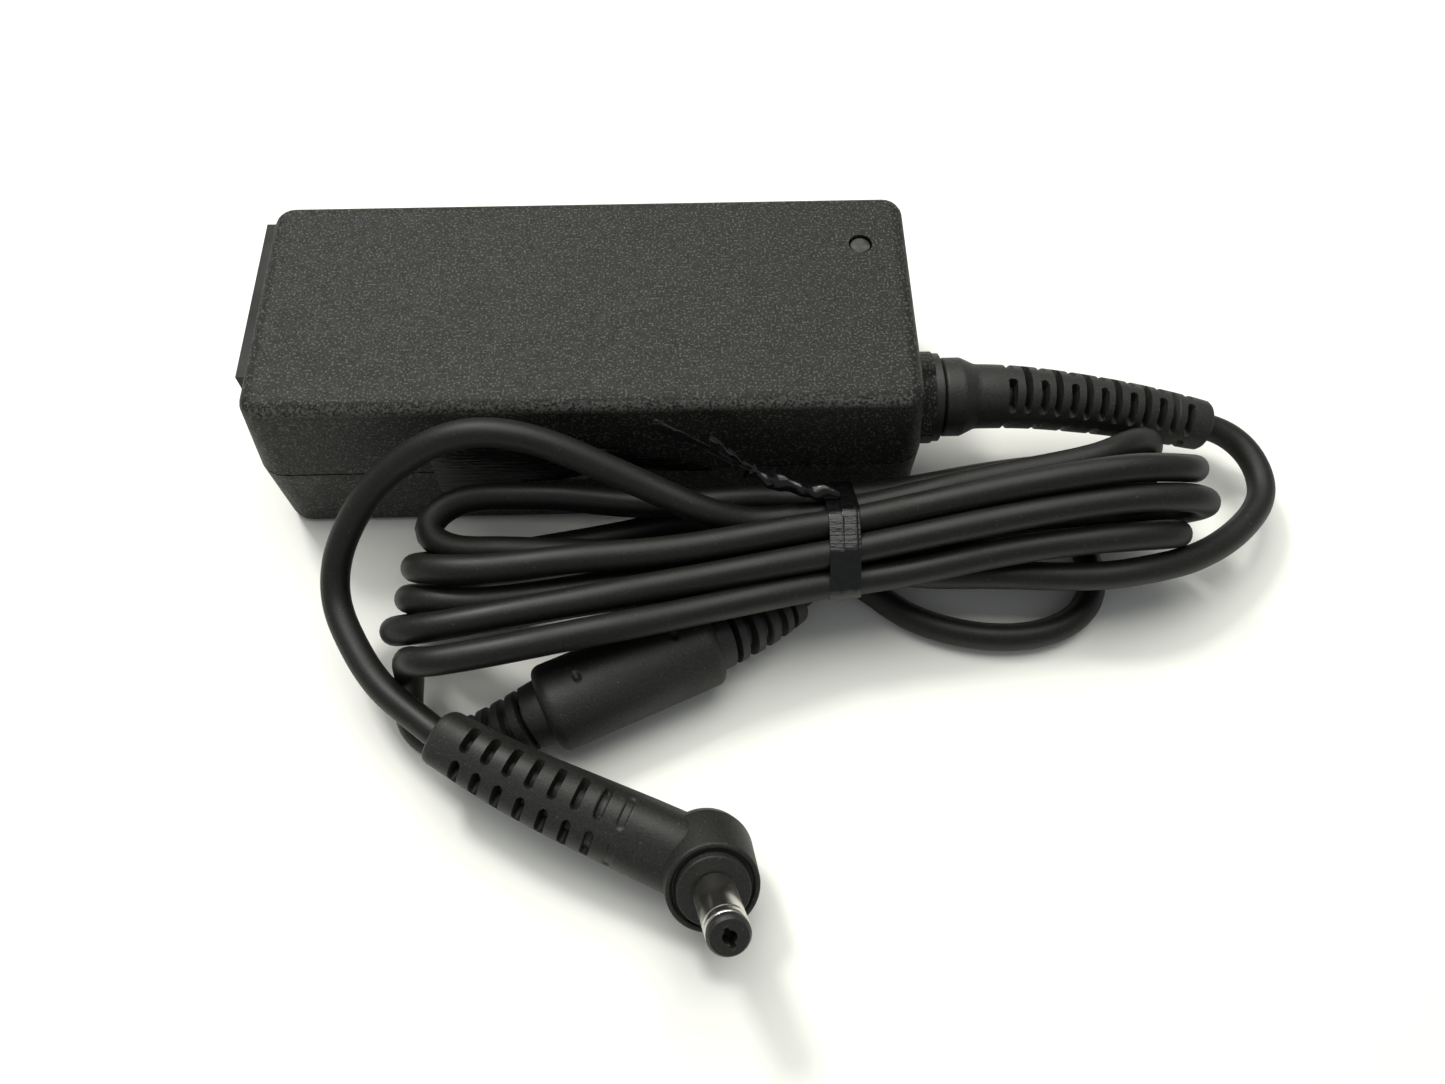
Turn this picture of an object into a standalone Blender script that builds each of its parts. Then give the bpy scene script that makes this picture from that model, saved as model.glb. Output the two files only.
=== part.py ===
"""Laptop power adapter: a two-part case with its power supply inside, and a bundled output cord.

All meshes are in the case's own frame: origin under the case's centre, +X along the case towards the
output cord, +Y away from the bundled cord, +Z up. One empty moves everything so that the origin is
under the middle of the whole housing, inlet rim and cord collar included.
"""

import math

import bmesh
import bpy
import numpy as np
from mathutils import Vector

MM = 0.001
GAP = 0.3 * MM

# Case
CASE_LENGTH = 97.0 * MM
CASE_WIDTH = 40.6 * MM
CASE_HEIGHT = 28.5 * MM
SEAM_HEIGHT = 14.4 * MM
CASE_CORNER = 4.2 * MM
COVER_DRAFT = 1.15 * MM
BASE_DRAFT = 0.5 * MM
COVER_FILLET = 2.0 * MM
BASE_FILLET = 1.2 * MM
WALL = 2.0 * MM

# Mains inlet
INLET_Y = 3.4 * MM
INLET_Z = 15.4 * MM
INLET_PROUD = 0.7 * MM
RIM_WIDTH = 28.8 * MM
RIM_HEIGHT = 20.6 * MM
RIM_DEPTH = 1.6 * MM
NECK_WIDTH = 24.6 * MM
NECK_HEIGHT = 17.2 * MM
SOCKET_DEPTH = 16.0 * MM
CAVITY_DEPTH = 13.0 * MM
LOBE_RADIUS = 4.7 * MM
PIN_RADIUS = 1.2 * MM
PIN_SPACING = 7.3 * MM
PIN_DROP = 1.3 * MM
EARTH_RISE = 2.7 * MM
PIN_RECESS = 4.6 * MM
PIN_LENGTH = 14.0 * MM

# Output side
CORD_Y = -8.7 * MM
COLLAR_RADIUS = 6.9 * MM
COLLAR_PROUD = 2.1 * MM
CORD_RADIUS = 2.05 * MM
BOOT_NECK = 3.6 * MM

# Indicator
LED_X = 40.3 * MM
LED_Y = 9.2 * MM
LENS_RADIUS = 1.45 * MM

# Board
BOARD_LOW = 5.2 * MM
BOARD_THICK = 1.6 * MM
BOARD_X = (-31.0 * MM, 45.0 * MM)
BOARD_HALF_WIDTH = 17.0 * MM
PART_LOW = BOARD_LOW + BOARD_THICK + GAP

# Ferrite choke on the cord
FERRITE_RADIUS = 6.3 * MM
FERRITE_CORE_RADIUS = 5.0 * MM
FERRITE_CORE_LENGTH = 21.0 * MM
FERRITE_BORE = 2.5 * MM

# Plug
BARREL_RADIUS = 2.75 * MM
BARREL_LENGTH = 10.8 * MM
HEAD_RADIUS = 5.9 * MM
HEAD_BACK = 4.6 * MM
PLUG_RING = (16.5, -80.2, 11.0)
PLUG_AXIS = Vector((0.150, -0.64, 0.75)).normalized()

# Film strip between the case's front wall and the bundle: (x, z) of its corners, in mm
FILM_CORNERS = ((-22.5, 10.0), (17.6, 14.0), (17.6, 19.0), (-19.7, 20.9))
FILM_THICK = 0.25 * MM
FILM_ROOM = 0.9 * MM

# Bundle: its cross-section leans on two directions, across the strands and through them
LEAN = math.radians(60)
TIE_X = 35.8
TIE_HALF_WIDTH = 2.5
TIE_GROW = (0.35, 0.85)

SMOOTH_ANGLE = math.radians(35)


def clear_scene():
    for thing in list(bpy.data.objects):
        bpy.data.objects.remove(thing, do_unlink=True)


def material(name, colour, roughness, metallic=0.0):
    found = bpy.data.materials.get(name)
    if found:
        return found
    made = bpy.data.materials.new(name)
    made.use_nodes = True
    shader = made.node_tree.nodes["Principled BSDF"]
    shader.inputs["Base Color"].default_value = (*colour, 1.0)
    shader.inputs["Roughness"].default_value = roughness
    shader.inputs["Metallic"].default_value = metallic
    return made


MATERIALS = {
    "case_plastic": ((0.030, 0.030, 0.031), 0.62),
    "inlet_plastic": ((0.022, 0.022, 0.023), 0.50),
    "cord_pvc": ((0.018, 0.018, 0.018), 0.48),
    "overmould": ((0.024, 0.024, 0.024), 0.55),
    "tie_film": ((0.010, 0.010, 0.010), 0.15),
    "nickel": ((0.62, 0.60, 0.56), 0.28, 1.0),
    "brass": ((0.62, 0.48, 0.22), 0.35, 1.0),
    "lens": ((0.16, 0.16, 0.16), 0.20),
    "led_epoxy": ((0.10, 0.32, 0.12), 0.25),
    "board": ((0.10, 0.22, 0.08), 0.45),
    "insulation": ((0.78, 0.76, 0.70), 0.60),
    "label": ((0.10, 0.10, 0.10), 0.45),
    "capacitor_sleeve": ((0.05, 0.06, 0.10), 0.35),
    "film_capacitor": ((0.62, 0.46, 0.08), 0.45),
    "disc_capacitor": ((0.08, 0.16, 0.34), 0.45),
    "ferrite": ((0.06, 0.06, 0.065), 0.55),
    "copper_wire": ((0.45, 0.19, 0.08), 0.35, 1.0),
    "winding_tape": ((0.72, 0.60, 0.12), 0.40),
    "aluminium": ((0.70, 0.71, 0.72), 0.38, 1.0),
    "epoxy": ((0.02, 0.02, 0.02), 0.40),
    "wire_brown": ((0.16, 0.06, 0.03), 0.45),
    "wire_blue": ((0.04, 0.09, 0.30), 0.45),
    "wire_red": ((0.35, 0.03, 0.02), 0.45),
    "wire_black": ((0.02, 0.02, 0.02), 0.45),
}


def place(name, mesh, finish):
    """Puts a mesh or a curve into the scene under the adapter's empty, in its own material."""
    thing = bpy.data.objects.new(name, mesh)
    bpy.context.scene.collection.objects.link(thing)
    thing.parent = ROOT
    mesh.materials.append(material(finish, *MATERIALS[finish]))
    if thing.type == "MESH":
        mesh.shade_smooth()
        mesh.set_sharp_from_angle(angle=SMOOTH_ANGLE)
    return thing


def solid(name, points, faces, finish):
    """A closed mesh from points and faces, with its faces turned outwards."""
    shape = bmesh.new()
    corners = [shape.verts.new(point) for point in points]
    for face in faces:
        shape.faces.new([corners[index] for index in face])
    bmesh.ops.recalc_face_normals(shape, faces=shape.faces)
    mesh = bpy.data.meshes.new(name)
    shape.to_mesh(mesh)
    shape.free()
    return place(name, mesh, finish)


def box(name, low, high, finish, bevel=0.0):
    shape = bmesh.new()
    bmesh.ops.create_cube(shape, size=1.0)
    low, high = Vector(low), Vector(high)
    size = high - low
    for corner in shape.verts:
        corner.co = (low + high) / 2 + Vector(corner.co[i] * size[i] for i in range(3))
    if bevel:
        bmesh.ops.bevel(shape, geom=shape.edges, offset=bevel, segments=2, profile=0.5, affect="EDGES")
    mesh = bpy.data.meshes.new(name)
    shape.to_mesh(mesh)
    shape.free()
    return place(name, mesh, finish)


def turned(name, profile, start, axis, finish, sides=24):
    """A body of revolution. The profile is (radius, distance along the axis) from start.

    A profile that begins and ends at radius 0 makes a solid; any other is closed on itself as a ring.
    """
    axis = Vector(axis).normalized()
    turn = axis.to_track_quat("Z", "Y").to_matrix()
    whole = profile[0][0] == 0 and profile[-1][0] == 0
    rings = profile[1:-1] if whole else profile
    points, faces = [], []
    for radius, distance in rings:
        for side in range(sides):
            angle = 2 * math.pi * side / sides
            local = Vector((radius * math.cos(angle), radius * math.sin(angle), distance))
            points.append(Vector(start) + turn @ local)
    count = len(rings)
    for ring in range(count - 1 if whole else count):
        after = (ring + 1) % count
        for side in range(sides):
            beside = (side + 1) % sides
            faces.append(
                (ring * sides + side, ring * sides + beside, after * sides + beside, after * sides + side)
            )
    if whole:
        faces.append(tuple(range(sides)))
        faces.append(tuple(range((count - 1) * sides, count * sides)))
    return solid(name, points, faces, finish)


def cylinder(name, start, axis, radius, length, finish, sides=24):
    return turned(name, [(0, 0), (radius, 0), (radius, length), (0, length)], start, axis, finish, sides)


def cutter(shape):
    shape.hide_render = True
    shape.display_type = "WIRE"
    return shape


def boolean(target, tools, operation="DIFFERENCE"):
    for number, tool in enumerate(tools):
        change = target.modifiers.new(f"{operation.lower()}_{number}", "BOOLEAN")
        change.object = cutter(tool)
        change.operation = operation
        change.solver = "EXACT"
    return target


def smooth_route(points, spacing):
    """Points a given distance apart along a natural cubic spline through the route's own points, in mm."""
    route = np.array(points, float)
    chord = np.linalg.norm(np.diff(route, axis=0), axis=1)
    knots = np.concatenate([[0], np.cumsum(chord)])
    size = len(knots)
    system = np.eye(size)
    right = np.zeros((size, 3))
    for row in range(1, size - 1):
        before, after = chord[row - 1], chord[row]
        system[row, row - 1 : row + 2] = before, 2 * (before + after), after
        right[row] = 6 * (
            (route[row + 1] - route[row]) / after - (route[row] - route[row - 1]) / before
        )
    second = np.linalg.solve(system, right)
    fine = np.linspace(0, knots[-1], 40 * size)
    span = np.clip(np.searchsorted(knots, fine, side="right") - 1, 0, size - 2)
    length = chord[span][:, None]
    to_next = ((knots[span + 1] - fine)[:, None]) / length
    from_last = 1 - to_next
    curve = to_next * route[span] + from_last * route[span + 1]
    curve += (length**2 / 6) * (
        (to_next**3 - to_next) * second[span] + (from_last**3 - from_last) * second[span + 1]
    )
    run = np.concatenate([[0], np.cumsum(np.linalg.norm(np.diff(curve, axis=0), axis=1))])
    steps = np.linspace(0, run[-1], max(2, round(run[-1] / spacing) + 1))
    return np.stack([np.interp(steps, run, curve[:, axis]) for axis in range(3)], axis=1)


def tube(name, points, radius, finish, resolution=2):
    """A round cord or wire through points in mm: a bevelled curve with filled ends."""
    curve = bpy.data.curves.new(name, "CURVE")
    curve.dimensions = "3D"
    curve.bevel_depth = radius
    curve.bevel_resolution = resolution
    curve.use_fill_caps = True
    line = curve.splines.new("POLY")
    line.points.add(len(points) - 1)
    for point, where in zip(line.points, points):
        point.co = (*(float(value) * MM for value in where), 1.0)
    return place(name, curve, finish)


def lofted(name, rings, finish):
    """A closed solid through rings of points, all with the same number of points, from end to end."""
    sides = len(rings[0])
    points = [point for ring in rings for point in ring]
    faces = [tuple(range(sides)), tuple(range((len(rings) - 1) * sides, len(rings) * sides))]
    for ring in range(len(rings) - 1):
        here, after = ring * sides, (ring + 1) * sides
        for side in range(sides):
            beside = (side + 1) % sides
            faces.append((here + side, here + beside, after + beside, after + side))
    return solid(name, points, faces, finish)


def swept(name, route, stations, finish, sides=16, flat=1.0):
    """A round body along a route in mm. stations are (share of the length, radius); flat thins it upwards."""
    line = smooth_route(route, 0.5)
    run = np.concatenate([[0], np.cumsum(np.linalg.norm(np.diff(line, axis=0), axis=1))])
    run /= run[-1]

    def at(share):
        return Vector(np.interp(share, run, line[:, axis]) for axis in range(3)) * MM

    rings = []
    for share, radius in stations:
        along = (at(min(share + 0.02, 1)) - at(max(share - 0.02, 0))).normalized()
        across = along.cross(Vector((0, 0, 1))).normalized()
        upward = across.cross(along)
        ring = []
        for side in range(sides):
            angle = 2 * math.pi * side / sides
            ring.append(at(share) + radius * (math.cos(angle) * across + flat * math.sin(angle) * upward))
        rings.append(ring)
    return lofted(name, rings, finish)


def rounded_ring(inset, height, corner_points=5):
    """Points of the case's plan outline, moved inwards by inset, at a height."""
    half_x, half_y = CASE_LENGTH / 2 - inset, CASE_WIDTH / 2 - inset
    corner = max(CASE_CORNER - inset, 0.8 * MM)
    points = []
    for turn, (side_x, side_y) in enumerate(((1, 1), (-1, 1), (-1, -1), (1, -1))):
        for step in range(corner_points + 1):
            angle = math.pi / 2 * (turn + step / corner_points)
            points.append(
                Vector((
                    side_x * (half_x - corner) + corner * math.cos(angle),
                    side_y * (half_y - corner) + corner * math.sin(angle),
                    height,
                ))
            )
    return points


def shell(name, outer, inner, finish):
    """A cup-shaped shell. outer and inner are (inset, height) from the rim to the closed end."""
    return lofted(name, [rounded_ring(*station) for station in outer[::-1] + inner], finish)


def fillet(inset, height, radius, rising):
    """(inset, height) stations of a quarter round from a wall onto the closed end at height."""
    stations = []
    for step in range(5):
        angle = math.pi / 2 * step / 4
        drop = radius * (1 - math.sin(angle))
        level = height - drop if rising else height + drop
        stations.append((inset + radius * (1 - math.cos(angle)), level))
    return stations


def half_collar(name, upper):
    """Half of the round collar that the case halves form about the cord's exit."""
    collar = cylinder(
        name,
        (CASE_LENGTH / 2 - 1.2 * MM, CORD_Y, SEAM_HEIGHT),
        (1, 0, 0),
        COLLAR_RADIUS,
        COLLAR_PROUD + 1.2 * MM,
        "case_plastic",
        32,
    )
    low = SEAM_HEIGHT - 20 * MM if upper else SEAM_HEIGHT - GAP / 2
    high = SEAM_HEIGHT + GAP / 2 if upper else SEAM_HEIGHT + 20 * MM
    half = CASE_LENGTH / 2
    near, far = half - 9 * MM, half + 9 * MM
    other = box(name + "_trim", (near, -30 * MM, low), (far, 30 * MM, high), "case_plastic")
    return boolean(collar, [other])


def inlet_box(name, grow, start, end, width, height):
    return box(
        name,
        (start, INLET_Y - width / 2 - grow, INLET_Z - height / 2 - grow),
        (end, INLET_Y + width / 2 + grow, INLET_Z + height / 2 + grow),
        "case_plastic",
    )


def case_openings(name):
    """Cutters for what passes through the case walls: the inlet's rim and neck, and the cord boot."""
    face = -CASE_LENGTH / 2 - INLET_PROUD
    half = CASE_LENGTH / 2
    return [
        inlet_box(name + "_rim_cut", GAP, face - 2 * MM, face + RIM_DEPTH + GAP, RIM_WIDTH, RIM_HEIGHT),
        inlet_box(name + "_neck_cut", GAP, face - 2 * MM, face + 5 * MM, NECK_WIDTH, NECK_HEIGHT),
        cylinder(
            name + "_boot_cut",
            (half - 4 * MM, CORD_Y, SEAM_HEIGHT),
            (1, 0, 0),
            BOOT_NECK + GAP,
            10 * MM,
            "case_plastic",
        ),
    ]


def top_cover():
    low = SEAM_HEIGHT + GAP / 2
    outer = [(0, low)] + fillet(COVER_DRAFT, CASE_HEIGHT, COVER_FILLET, True)
    inner = [(WALL, low), (WALL + COVER_DRAFT, CASE_HEIGHT - WALL)]
    cover = shell("top_cover", outer, inner, "case_plastic")
    boolean(cover, [half_collar("cover_collar", True)], "UNION")
    lens_cut = cylinder(
        "lens_cut",
        (LED_X, LED_Y, CASE_HEIGHT - 5 * MM),
        (0, 0, 1),
        LENS_RADIUS + GAP,
        10 * MM,
        "case_plastic",
        32,
    )
    return boolean(cover, case_openings("cover") + [lens_cut])


def bottom_case():
    high = SEAM_HEIGHT - GAP / 2
    outer = [(0, high)] + fillet(BASE_DRAFT, 0, BASE_FILLET, False)
    inner = [(WALL, high), (WALL + BASE_DRAFT, WALL)]
    base = shell("bottom_case", outer, inner, "case_plastic")
    posts = [
        cylinder(f"post_{number}", (x * MM, y * MM, 1 * MM), (0, 0, 1), 2 * MM, 3.9 * MM, "case_plastic", 12)
        for number, (x, y) in enumerate(((-27, -14), (-27, 14), (41, -14), (41, 14)))
    ]
    boolean(base, [half_collar("base_collar", False)] + posts, "UNION")
    recess = box("label_cut", (-32 * MM, -13 * MM, -1 * MM), (32 * MM, 13 * MM, 0.7 * MM), "case_plastic")
    return boolean(base, case_openings("base") + [recess])


def housing():
    top_cover()
    bottom_case()
    box("underside_label", (-31.7 * MM, -12.7 * MM, 0.05 * MM), (31.7 * MM, 12.7 * MM, 0.4 * MM), "label")
    cylinder("led_lens", (LED_X, LED_Y, 24.4 * MM), (0, 0, 1), LENS_RADIUS, 3.7 * MM, "lens", 32)
    turned(
        "status_led",
        [
            (0, 0),
            (1.5 * MM, 0),
            (1.5 * MM, 3.2 * MM),
            (1.2 * MM, 4.1 * MM),
            (0.6 * MM, 4.6 * MM),
            (0, 4.6 * MM),
        ],
        (LED_X, LED_Y, 19 * MM),
        (0, 0, 1),
        "led_epoxy",
        16,
    )


def pin_places():
    """The inlet's three pins: name, y and z."""
    return (
        ("live_pin", INLET_Y - PIN_SPACING / 2, INLET_Z - PIN_DROP),
        ("neutral_pin", INLET_Y + PIN_SPACING / 2, INLET_Z - PIN_DROP),
        ("earth_pin", INLET_Y, INLET_Z + EARTH_RISE),
    )


def inlet():
    face = -CASE_LENGTH / 2 - INLET_PROUD
    rim = inlet_box("inlet_socket", 0, face, face + RIM_DEPTH, RIM_WIDTH, RIM_HEIGHT)
    neck = inlet_box("inlet_neck", 0, face + RIM_DEPTH / 2, face + SOCKET_DEPTH, NECK_WIDTH, NECK_HEIGHT)
    boolean(rim, [neck], "UNION")
    cuts = []
    for name, y, z in pin_places():
        mouth = (face - MM, y, z)
        cuts.append(cylinder(name + "_lobe", mouth, (1, 0, 0), LOBE_RADIUS, CAVITY_DEPTH + MM, "brass", 28))
        cuts.append(cylinder(name + "_hole", mouth, (1, 0, 0), PIN_RADIUS + GAP, 20 * MM, "brass", 12))
        tip = 0.4 * MM
        turned(
            name,
            [(0, 0), (PIN_RADIUS - tip, 0), (PIN_RADIUS, tip), (PIN_RADIUS, PIN_LENGTH), (0, PIN_LENGTH)],
            (face + PIN_RECESS, y, z),
            (1, 0, 0),
            "nickel",
            16,
        )
    boolean(rim, cuts)


def standing_box(name, centre, size, finish, low=PART_LOW, bevel=0.3 * MM):
    """A block on the board: centre (x, y) and size (x, y, z) in mm."""
    (x, y), (long, wide, high) = centre, size
    return box(
        name,
        ((x - long / 2) * MM, (y - wide / 2) * MM, low),
        ((x + long / 2) * MM, (y + wide / 2) * MM, low + high * MM),
        finish,
        bevel,
    )


def can(name, start, axis, radius, length, finish="capacitor_sleeve"):
    """An electrolytic capacitor: a can with a rolled groove near its foot and a rounded top."""
    profile = [
        (0, 0),
        (radius - 0.4 * MM, 0),
        (radius, 0.4 * MM),
        (radius, 1.6 * MM),
        (radius - 0.6 * MM, 2.1 * MM),
        (radius, 2.6 * MM),
        (radius, length - 0.6 * MM),
        (radius - 0.6 * MM, length),
        (0, length),
    ]
    return turned(name, profile, start, axis, finish, 24)


def board():
    box(
        "circuit_board",
        (BOARD_X[0], -BOARD_HALF_WIDTH, BOARD_LOW),
        (BOARD_X[1], BOARD_HALF_WIDTH, BOARD_LOW + BOARD_THICK),
        "board",
    )
    box("insulation_sheet", (-24 * MM, -16 * MM, 2.5 * MM), (38 * MM, 16 * MM, 2.9 * MM), "insulation")


def mains_side():
    cylinder("fuse", (-23.6 * MM, 12.4 * MM, PART_LOW), (0, 0, 1), 4.2 * MM, 7.5 * MM, "epoxy")
    standing_box("x_capacitor", (-25.5, -9.3), (8, 14.6, 13), "film_capacitor")
    spool = [(1.8, 0), (6.4, 0), (6.4, 1.2), (3.2, 1.2), (3.2, 10.8), (6.4, 10.8), (6.4, 12), (1.8, 12)]
    turned(
        "line_choke_core",
        [(radius * MM, height * MM) for radius, height in spool],
        (-12.5 * MM, 9 * MM, PART_LOW),
        (0, 0, 1),
        "ferrite",
    )
    turned(
        "line_choke_winding",
        [(3.5 * MM, 1.5 * MM), (5.9 * MM, 1.5 * MM), (5.9 * MM, 10.5 * MM), (3.5 * MM, 10.5 * MM)],
        (-12.5 * MM, 9 * MM, PART_LOW),
        (0, 0, 1),
        "copper_wire",
    )
    standing_box("bridge_rectifier", (-16, -8.5), (4.4, 15, 11), "epoxy", bevel=0.5 * MM)
    disc_place = (-22.2 * MM, 3.0 * MM, 10.8 * MM)
    cylinder("y_capacitor", disc_place, (0, 1, 0), 3.2 * MM, 2.8 * MM, "disc_capacitor", 20)


def primary_side():
    can("bulk_capacitor", (-11.5 * MM, -8.4 * MM, PART_LOW + 8.4 * MM), (1, 0, 0), 8.2 * MM, 27 * MM)
    standing_box("primary_heatsink", (3, 15.2), (18, 1.4, 17), "aluminium", bevel=0.2 * MM)
    standing_box("switching_transistor", (3, 11.9), (10, 4.4, 14.5), "epoxy", bevel=0.4 * MM)
    standing_box("controller_chip", (0.5, 4.3), (5, 4, 1.5), "epoxy", bevel=0.2 * MM)
    standing_box("optocoupler", (9.5, 4.6), (4.6, 6.4, 3.5), "epoxy", bevel=0.2 * MM)


def transformer():
    """An E core with its centre leg upright, and a taped winding round that leg."""
    x, y, low = 27 * MM, -3 * MM, PART_LOW + 0.4 * MM
    long, wide, high = 14 * MM, 24 * MM, 17.6 * MM
    core = box(
        "transformer_core",
        (x - long / 2, y - wide / 2, low),
        (x + long / 2, y + wide / 2, low + high),
        "ferrite",
    )
    windows = []
    for number, side in enumerate((-1, 1)):
        near, far = side * 3.5 * MM, side * 9.5 * MM
        windows.append(
            box(
                f"core_window_{number}",
                (x - long, y + min(near, far), low + 3.4 * MM),
                (x + long, y + max(near, far), low + high - 3.4 * MM),
                "ferrite",
            )
        )
    boolean(core, windows)
    winding = box(
        "transformer_winding",
        (x - 10 * MM, y - 9.2 * MM, low + 3.7 * MM),
        (x + 10 * MM, y + 9.2 * MM, low + high - 3.7 * MM),
        "winding_tape",
    )
    hole = box(
        "winding_hole",
        (x - long / 2 - GAP, y - 3.8 * MM, low),
        (x + long / 2 + GAP, y + 3.8 * MM, low + high),
        "winding_tape",
    )
    boolean(winding, [hole])


def output_side():
    standing_box("secondary_heatsink", (27, 15.2), (18, 1.4, 17), "aluminium", bevel=0.2 * MM)
    standing_box("output_rectifier", (27, 11.9), (10, 4.4, 14.5), "epoxy", bevel=0.4 * MM)
    can("output_capacitor_large", (41.2 * MM, 0.4 * MM, PART_LOW), (0, 0, 1), 4 * MM, 14 * MM)
    can("output_capacitor_small", (41.2 * MM, 13.9 * MM, PART_LOW), (0, 0, 1), 2.5 * MM, 11 * MM)


def inner_wires():
    back = (-CASE_LENGTH / 2 - INLET_PROUD + PIN_RECESS + PIN_LENGTH + GAP) / MM
    pins = {name: (y / MM, z / MM) for name, y, z in pin_places()}
    foot = PART_LOW / MM
    for name, pin, finish, end in (
        ("live_wire", "live_pin", "wire_brown", (-26.9, 0.4)),
        ("neutral_wire", "neutral_pin", "wire_blue", (-26.9, 5.6)),
    ):
        y, z = pins[pin]
        bend = (end[0] - 0.3, (y + end[1]) / 2, z - 2.2)
        route = [(back, y, z), (back + 1.8, y, z - 0.3), bend, (*end, foot + 2.4), (*end, foot)]
        tube(name, smooth_route(route, 1.2), 0.8 * MM, finish)
    seam = SEAM_HEIGHT / MM
    cord = CORD_Y / MM
    for name, side, finish in (("positive_wire", 1, "wire_red"), ("negative_wire", -1, "wire_black")):
        start = (43.4, cord + 1.1 * side)
        end = (40.4, cord + 2.6 * side)
        route = [(*start, seam), (start[0] - 1.6, start[1], seam - 0.6), (*end, foot + 3), (*end, foot)]
        tube(name, smooth_route(route, 1.6), 0.75 * MM, finish)


# Routes in mm, in the case's frame: hand-chosen points where the cord isn't wound
BOOT_ROUTE = [
    (43.7, -8.7, 14.4),
    (52.0, -8.7, 14.4),
    (62.0, -8.6, 14.1),
    (73.0, -8.9, 12.6),
    (84.0, -9.7, 10.6),
    (93.6, -10.8, 8.5),
]
EXIT_ROUTE = [
    (94.6, -10.95, 8.25),
    (96.6, -11.6, 7.9),
    (99.9, -13.6, 7.3),
    (101.9, -17.0, 6.9),
    (101.9, -21.5, 6.8),
    (97.0, -27.4, 7.8),
    (88.1, -33.7, 9.8),
    (80.0, -36.6, 11.2),
    (72.2, -37.7, 11.2),
    (58.5, -37.0, 10.3),
    (49.0, -36.7, 10.0),
    (42.5, -36.5, 10.1),
]
FERRITE_LEFT = (-5.9, -54.4, 6.4)
FERRITE_RIGHT = (16.9, -44.4, 6.4)
FERRITE_SHARES = (0, 0.15, 0.5, 0.85, 1)
FERRITE_RUN = [
    tuple(a + share * (b - a) for a, b in zip(FERRITE_LEFT, FERRITE_RIGHT)) for share in FERRITE_SHARES
]
FERRITE_ROUTE = [
    (-24.0, -49.3, 12.2),
    (-24.4, -49.5, 9.6),
    (-25.1, -50.6, 5.4),
    (-25.3, -53.8, 2.8),
    (-22.8, -56.8, 2.3),
    (-17.6, -57.8, 3.1),
    (-11.6, -56.4, 4.9),
    *FERRITE_RUN,
    (23.3, -41.3, 5.4),
    (29.2, -37.2, 4.2),
    (33.0, -34.2, 3.5),
    (35.8, -33.5, 3.1),
    (38.6, -34.0, 2.9),
    (41.6, -36.0, 2.6),
    (45.4, -39.0, 2.3),
    (51.8, -42.0, 2.3),
    (61.5, -43.4, 2.3),
    (70.2, -40.9, 2.3),
    (73.9, -35.6, 2.3),
    (73.9, -29.0, 2.3),
    (75.8, -23.0, 3.2),
    (80.4, -18.8, 6.2),
    (83.3, -17.4, 10.2),
    (80.6, -18.7, 14.2),
]
SLEEVE_ROUTE = FERRITE_ROUTE[5:14]
SLEEVE_ROOM = ((0, 3.6), (0.2, 4.9), (0.22, 6.9), (0.77, 6.9), (0.79, 5.0), (1, 3.8))
PLUG_ROUTE = [
    (25.5, -31.6, 16.4),
    (22.7, -31.0, 16.4),
    (15.8, -30.4, 19.0),
    (9.2, -28.3, 21.4),
    (2.4, -26.2, 24.2),
    (-4.4, -24.4, 27.0),
    (-11.2, -23.5, 29.1),
    (-17.4, -23.7, 28.7),
    (-23.0, -24.9, 26.0),
    (-28.4, -27.2, 22.4),
    (-32.7, -31.0, 18.0),
    (-35.1, -35.4, 13.8),
    (-35.0, -39.9, 11.2),
    (-33.0, -44.9, 10.4),
    (-30.6, -49.4, 10.2),
    (-28.0, -52.5, 10.2),
    (-24.2, -55.7, 10.2),
    (-20.6, -58.4, 10.3),
]
PLUG_RELIEF_ROUTE = [(-19.9, -59.3, 10.3), (-8.5, -65.3, 9.7), (3.5, -70.9, 8.5), (15.6, -76.4, 7.3)]
TIE_NECK_ROUTE = [(33.0, -27.6, 18.4), (29.0, -27.4, 19.6), (24.6, -26.8, 21.2)]
TIE_TAIL_ROUTE = [(24.4, -26.7, 21.3), (19.5, -25.4, 24.4), (14.0, -24.0, 28.6)]
CORD_STEP = 8.0


def in_mm(stations):
    """Stations (share of the way, radius) with the radius turned from millimetres into metres."""
    return [(share, radius * MM) for share, radius in stations]


def output_cord():
    boot = [
        (0.0, 4.6), (0.02, 4.6), (0.022, 3.6), (0.145, 3.6), (0.147, 5.9), (0.20, 5.9), (0.24, 5.9),
        (0.28, 4.9),
        (0.36, 4.8), (0.96, 3.9), (0.99, 3.8), (1.0, 3.2),
    ]
    swept("strain_relief", BOOT_ROUTE, in_mm(boot), "overmould")
    tubes = []
    for name, route in (
        ("cord_exit_lead", EXIT_ROUTE),
        ("cord_ferrite_lead", FERRITE_ROUTE),
        ("cord_plug_lead", PLUG_ROUTE),
    ):
        tubes.append(tube(name, smooth_route(route, CORD_STEP), CORD_RADIUS, "cord_pvc"))
    return tubes


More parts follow.
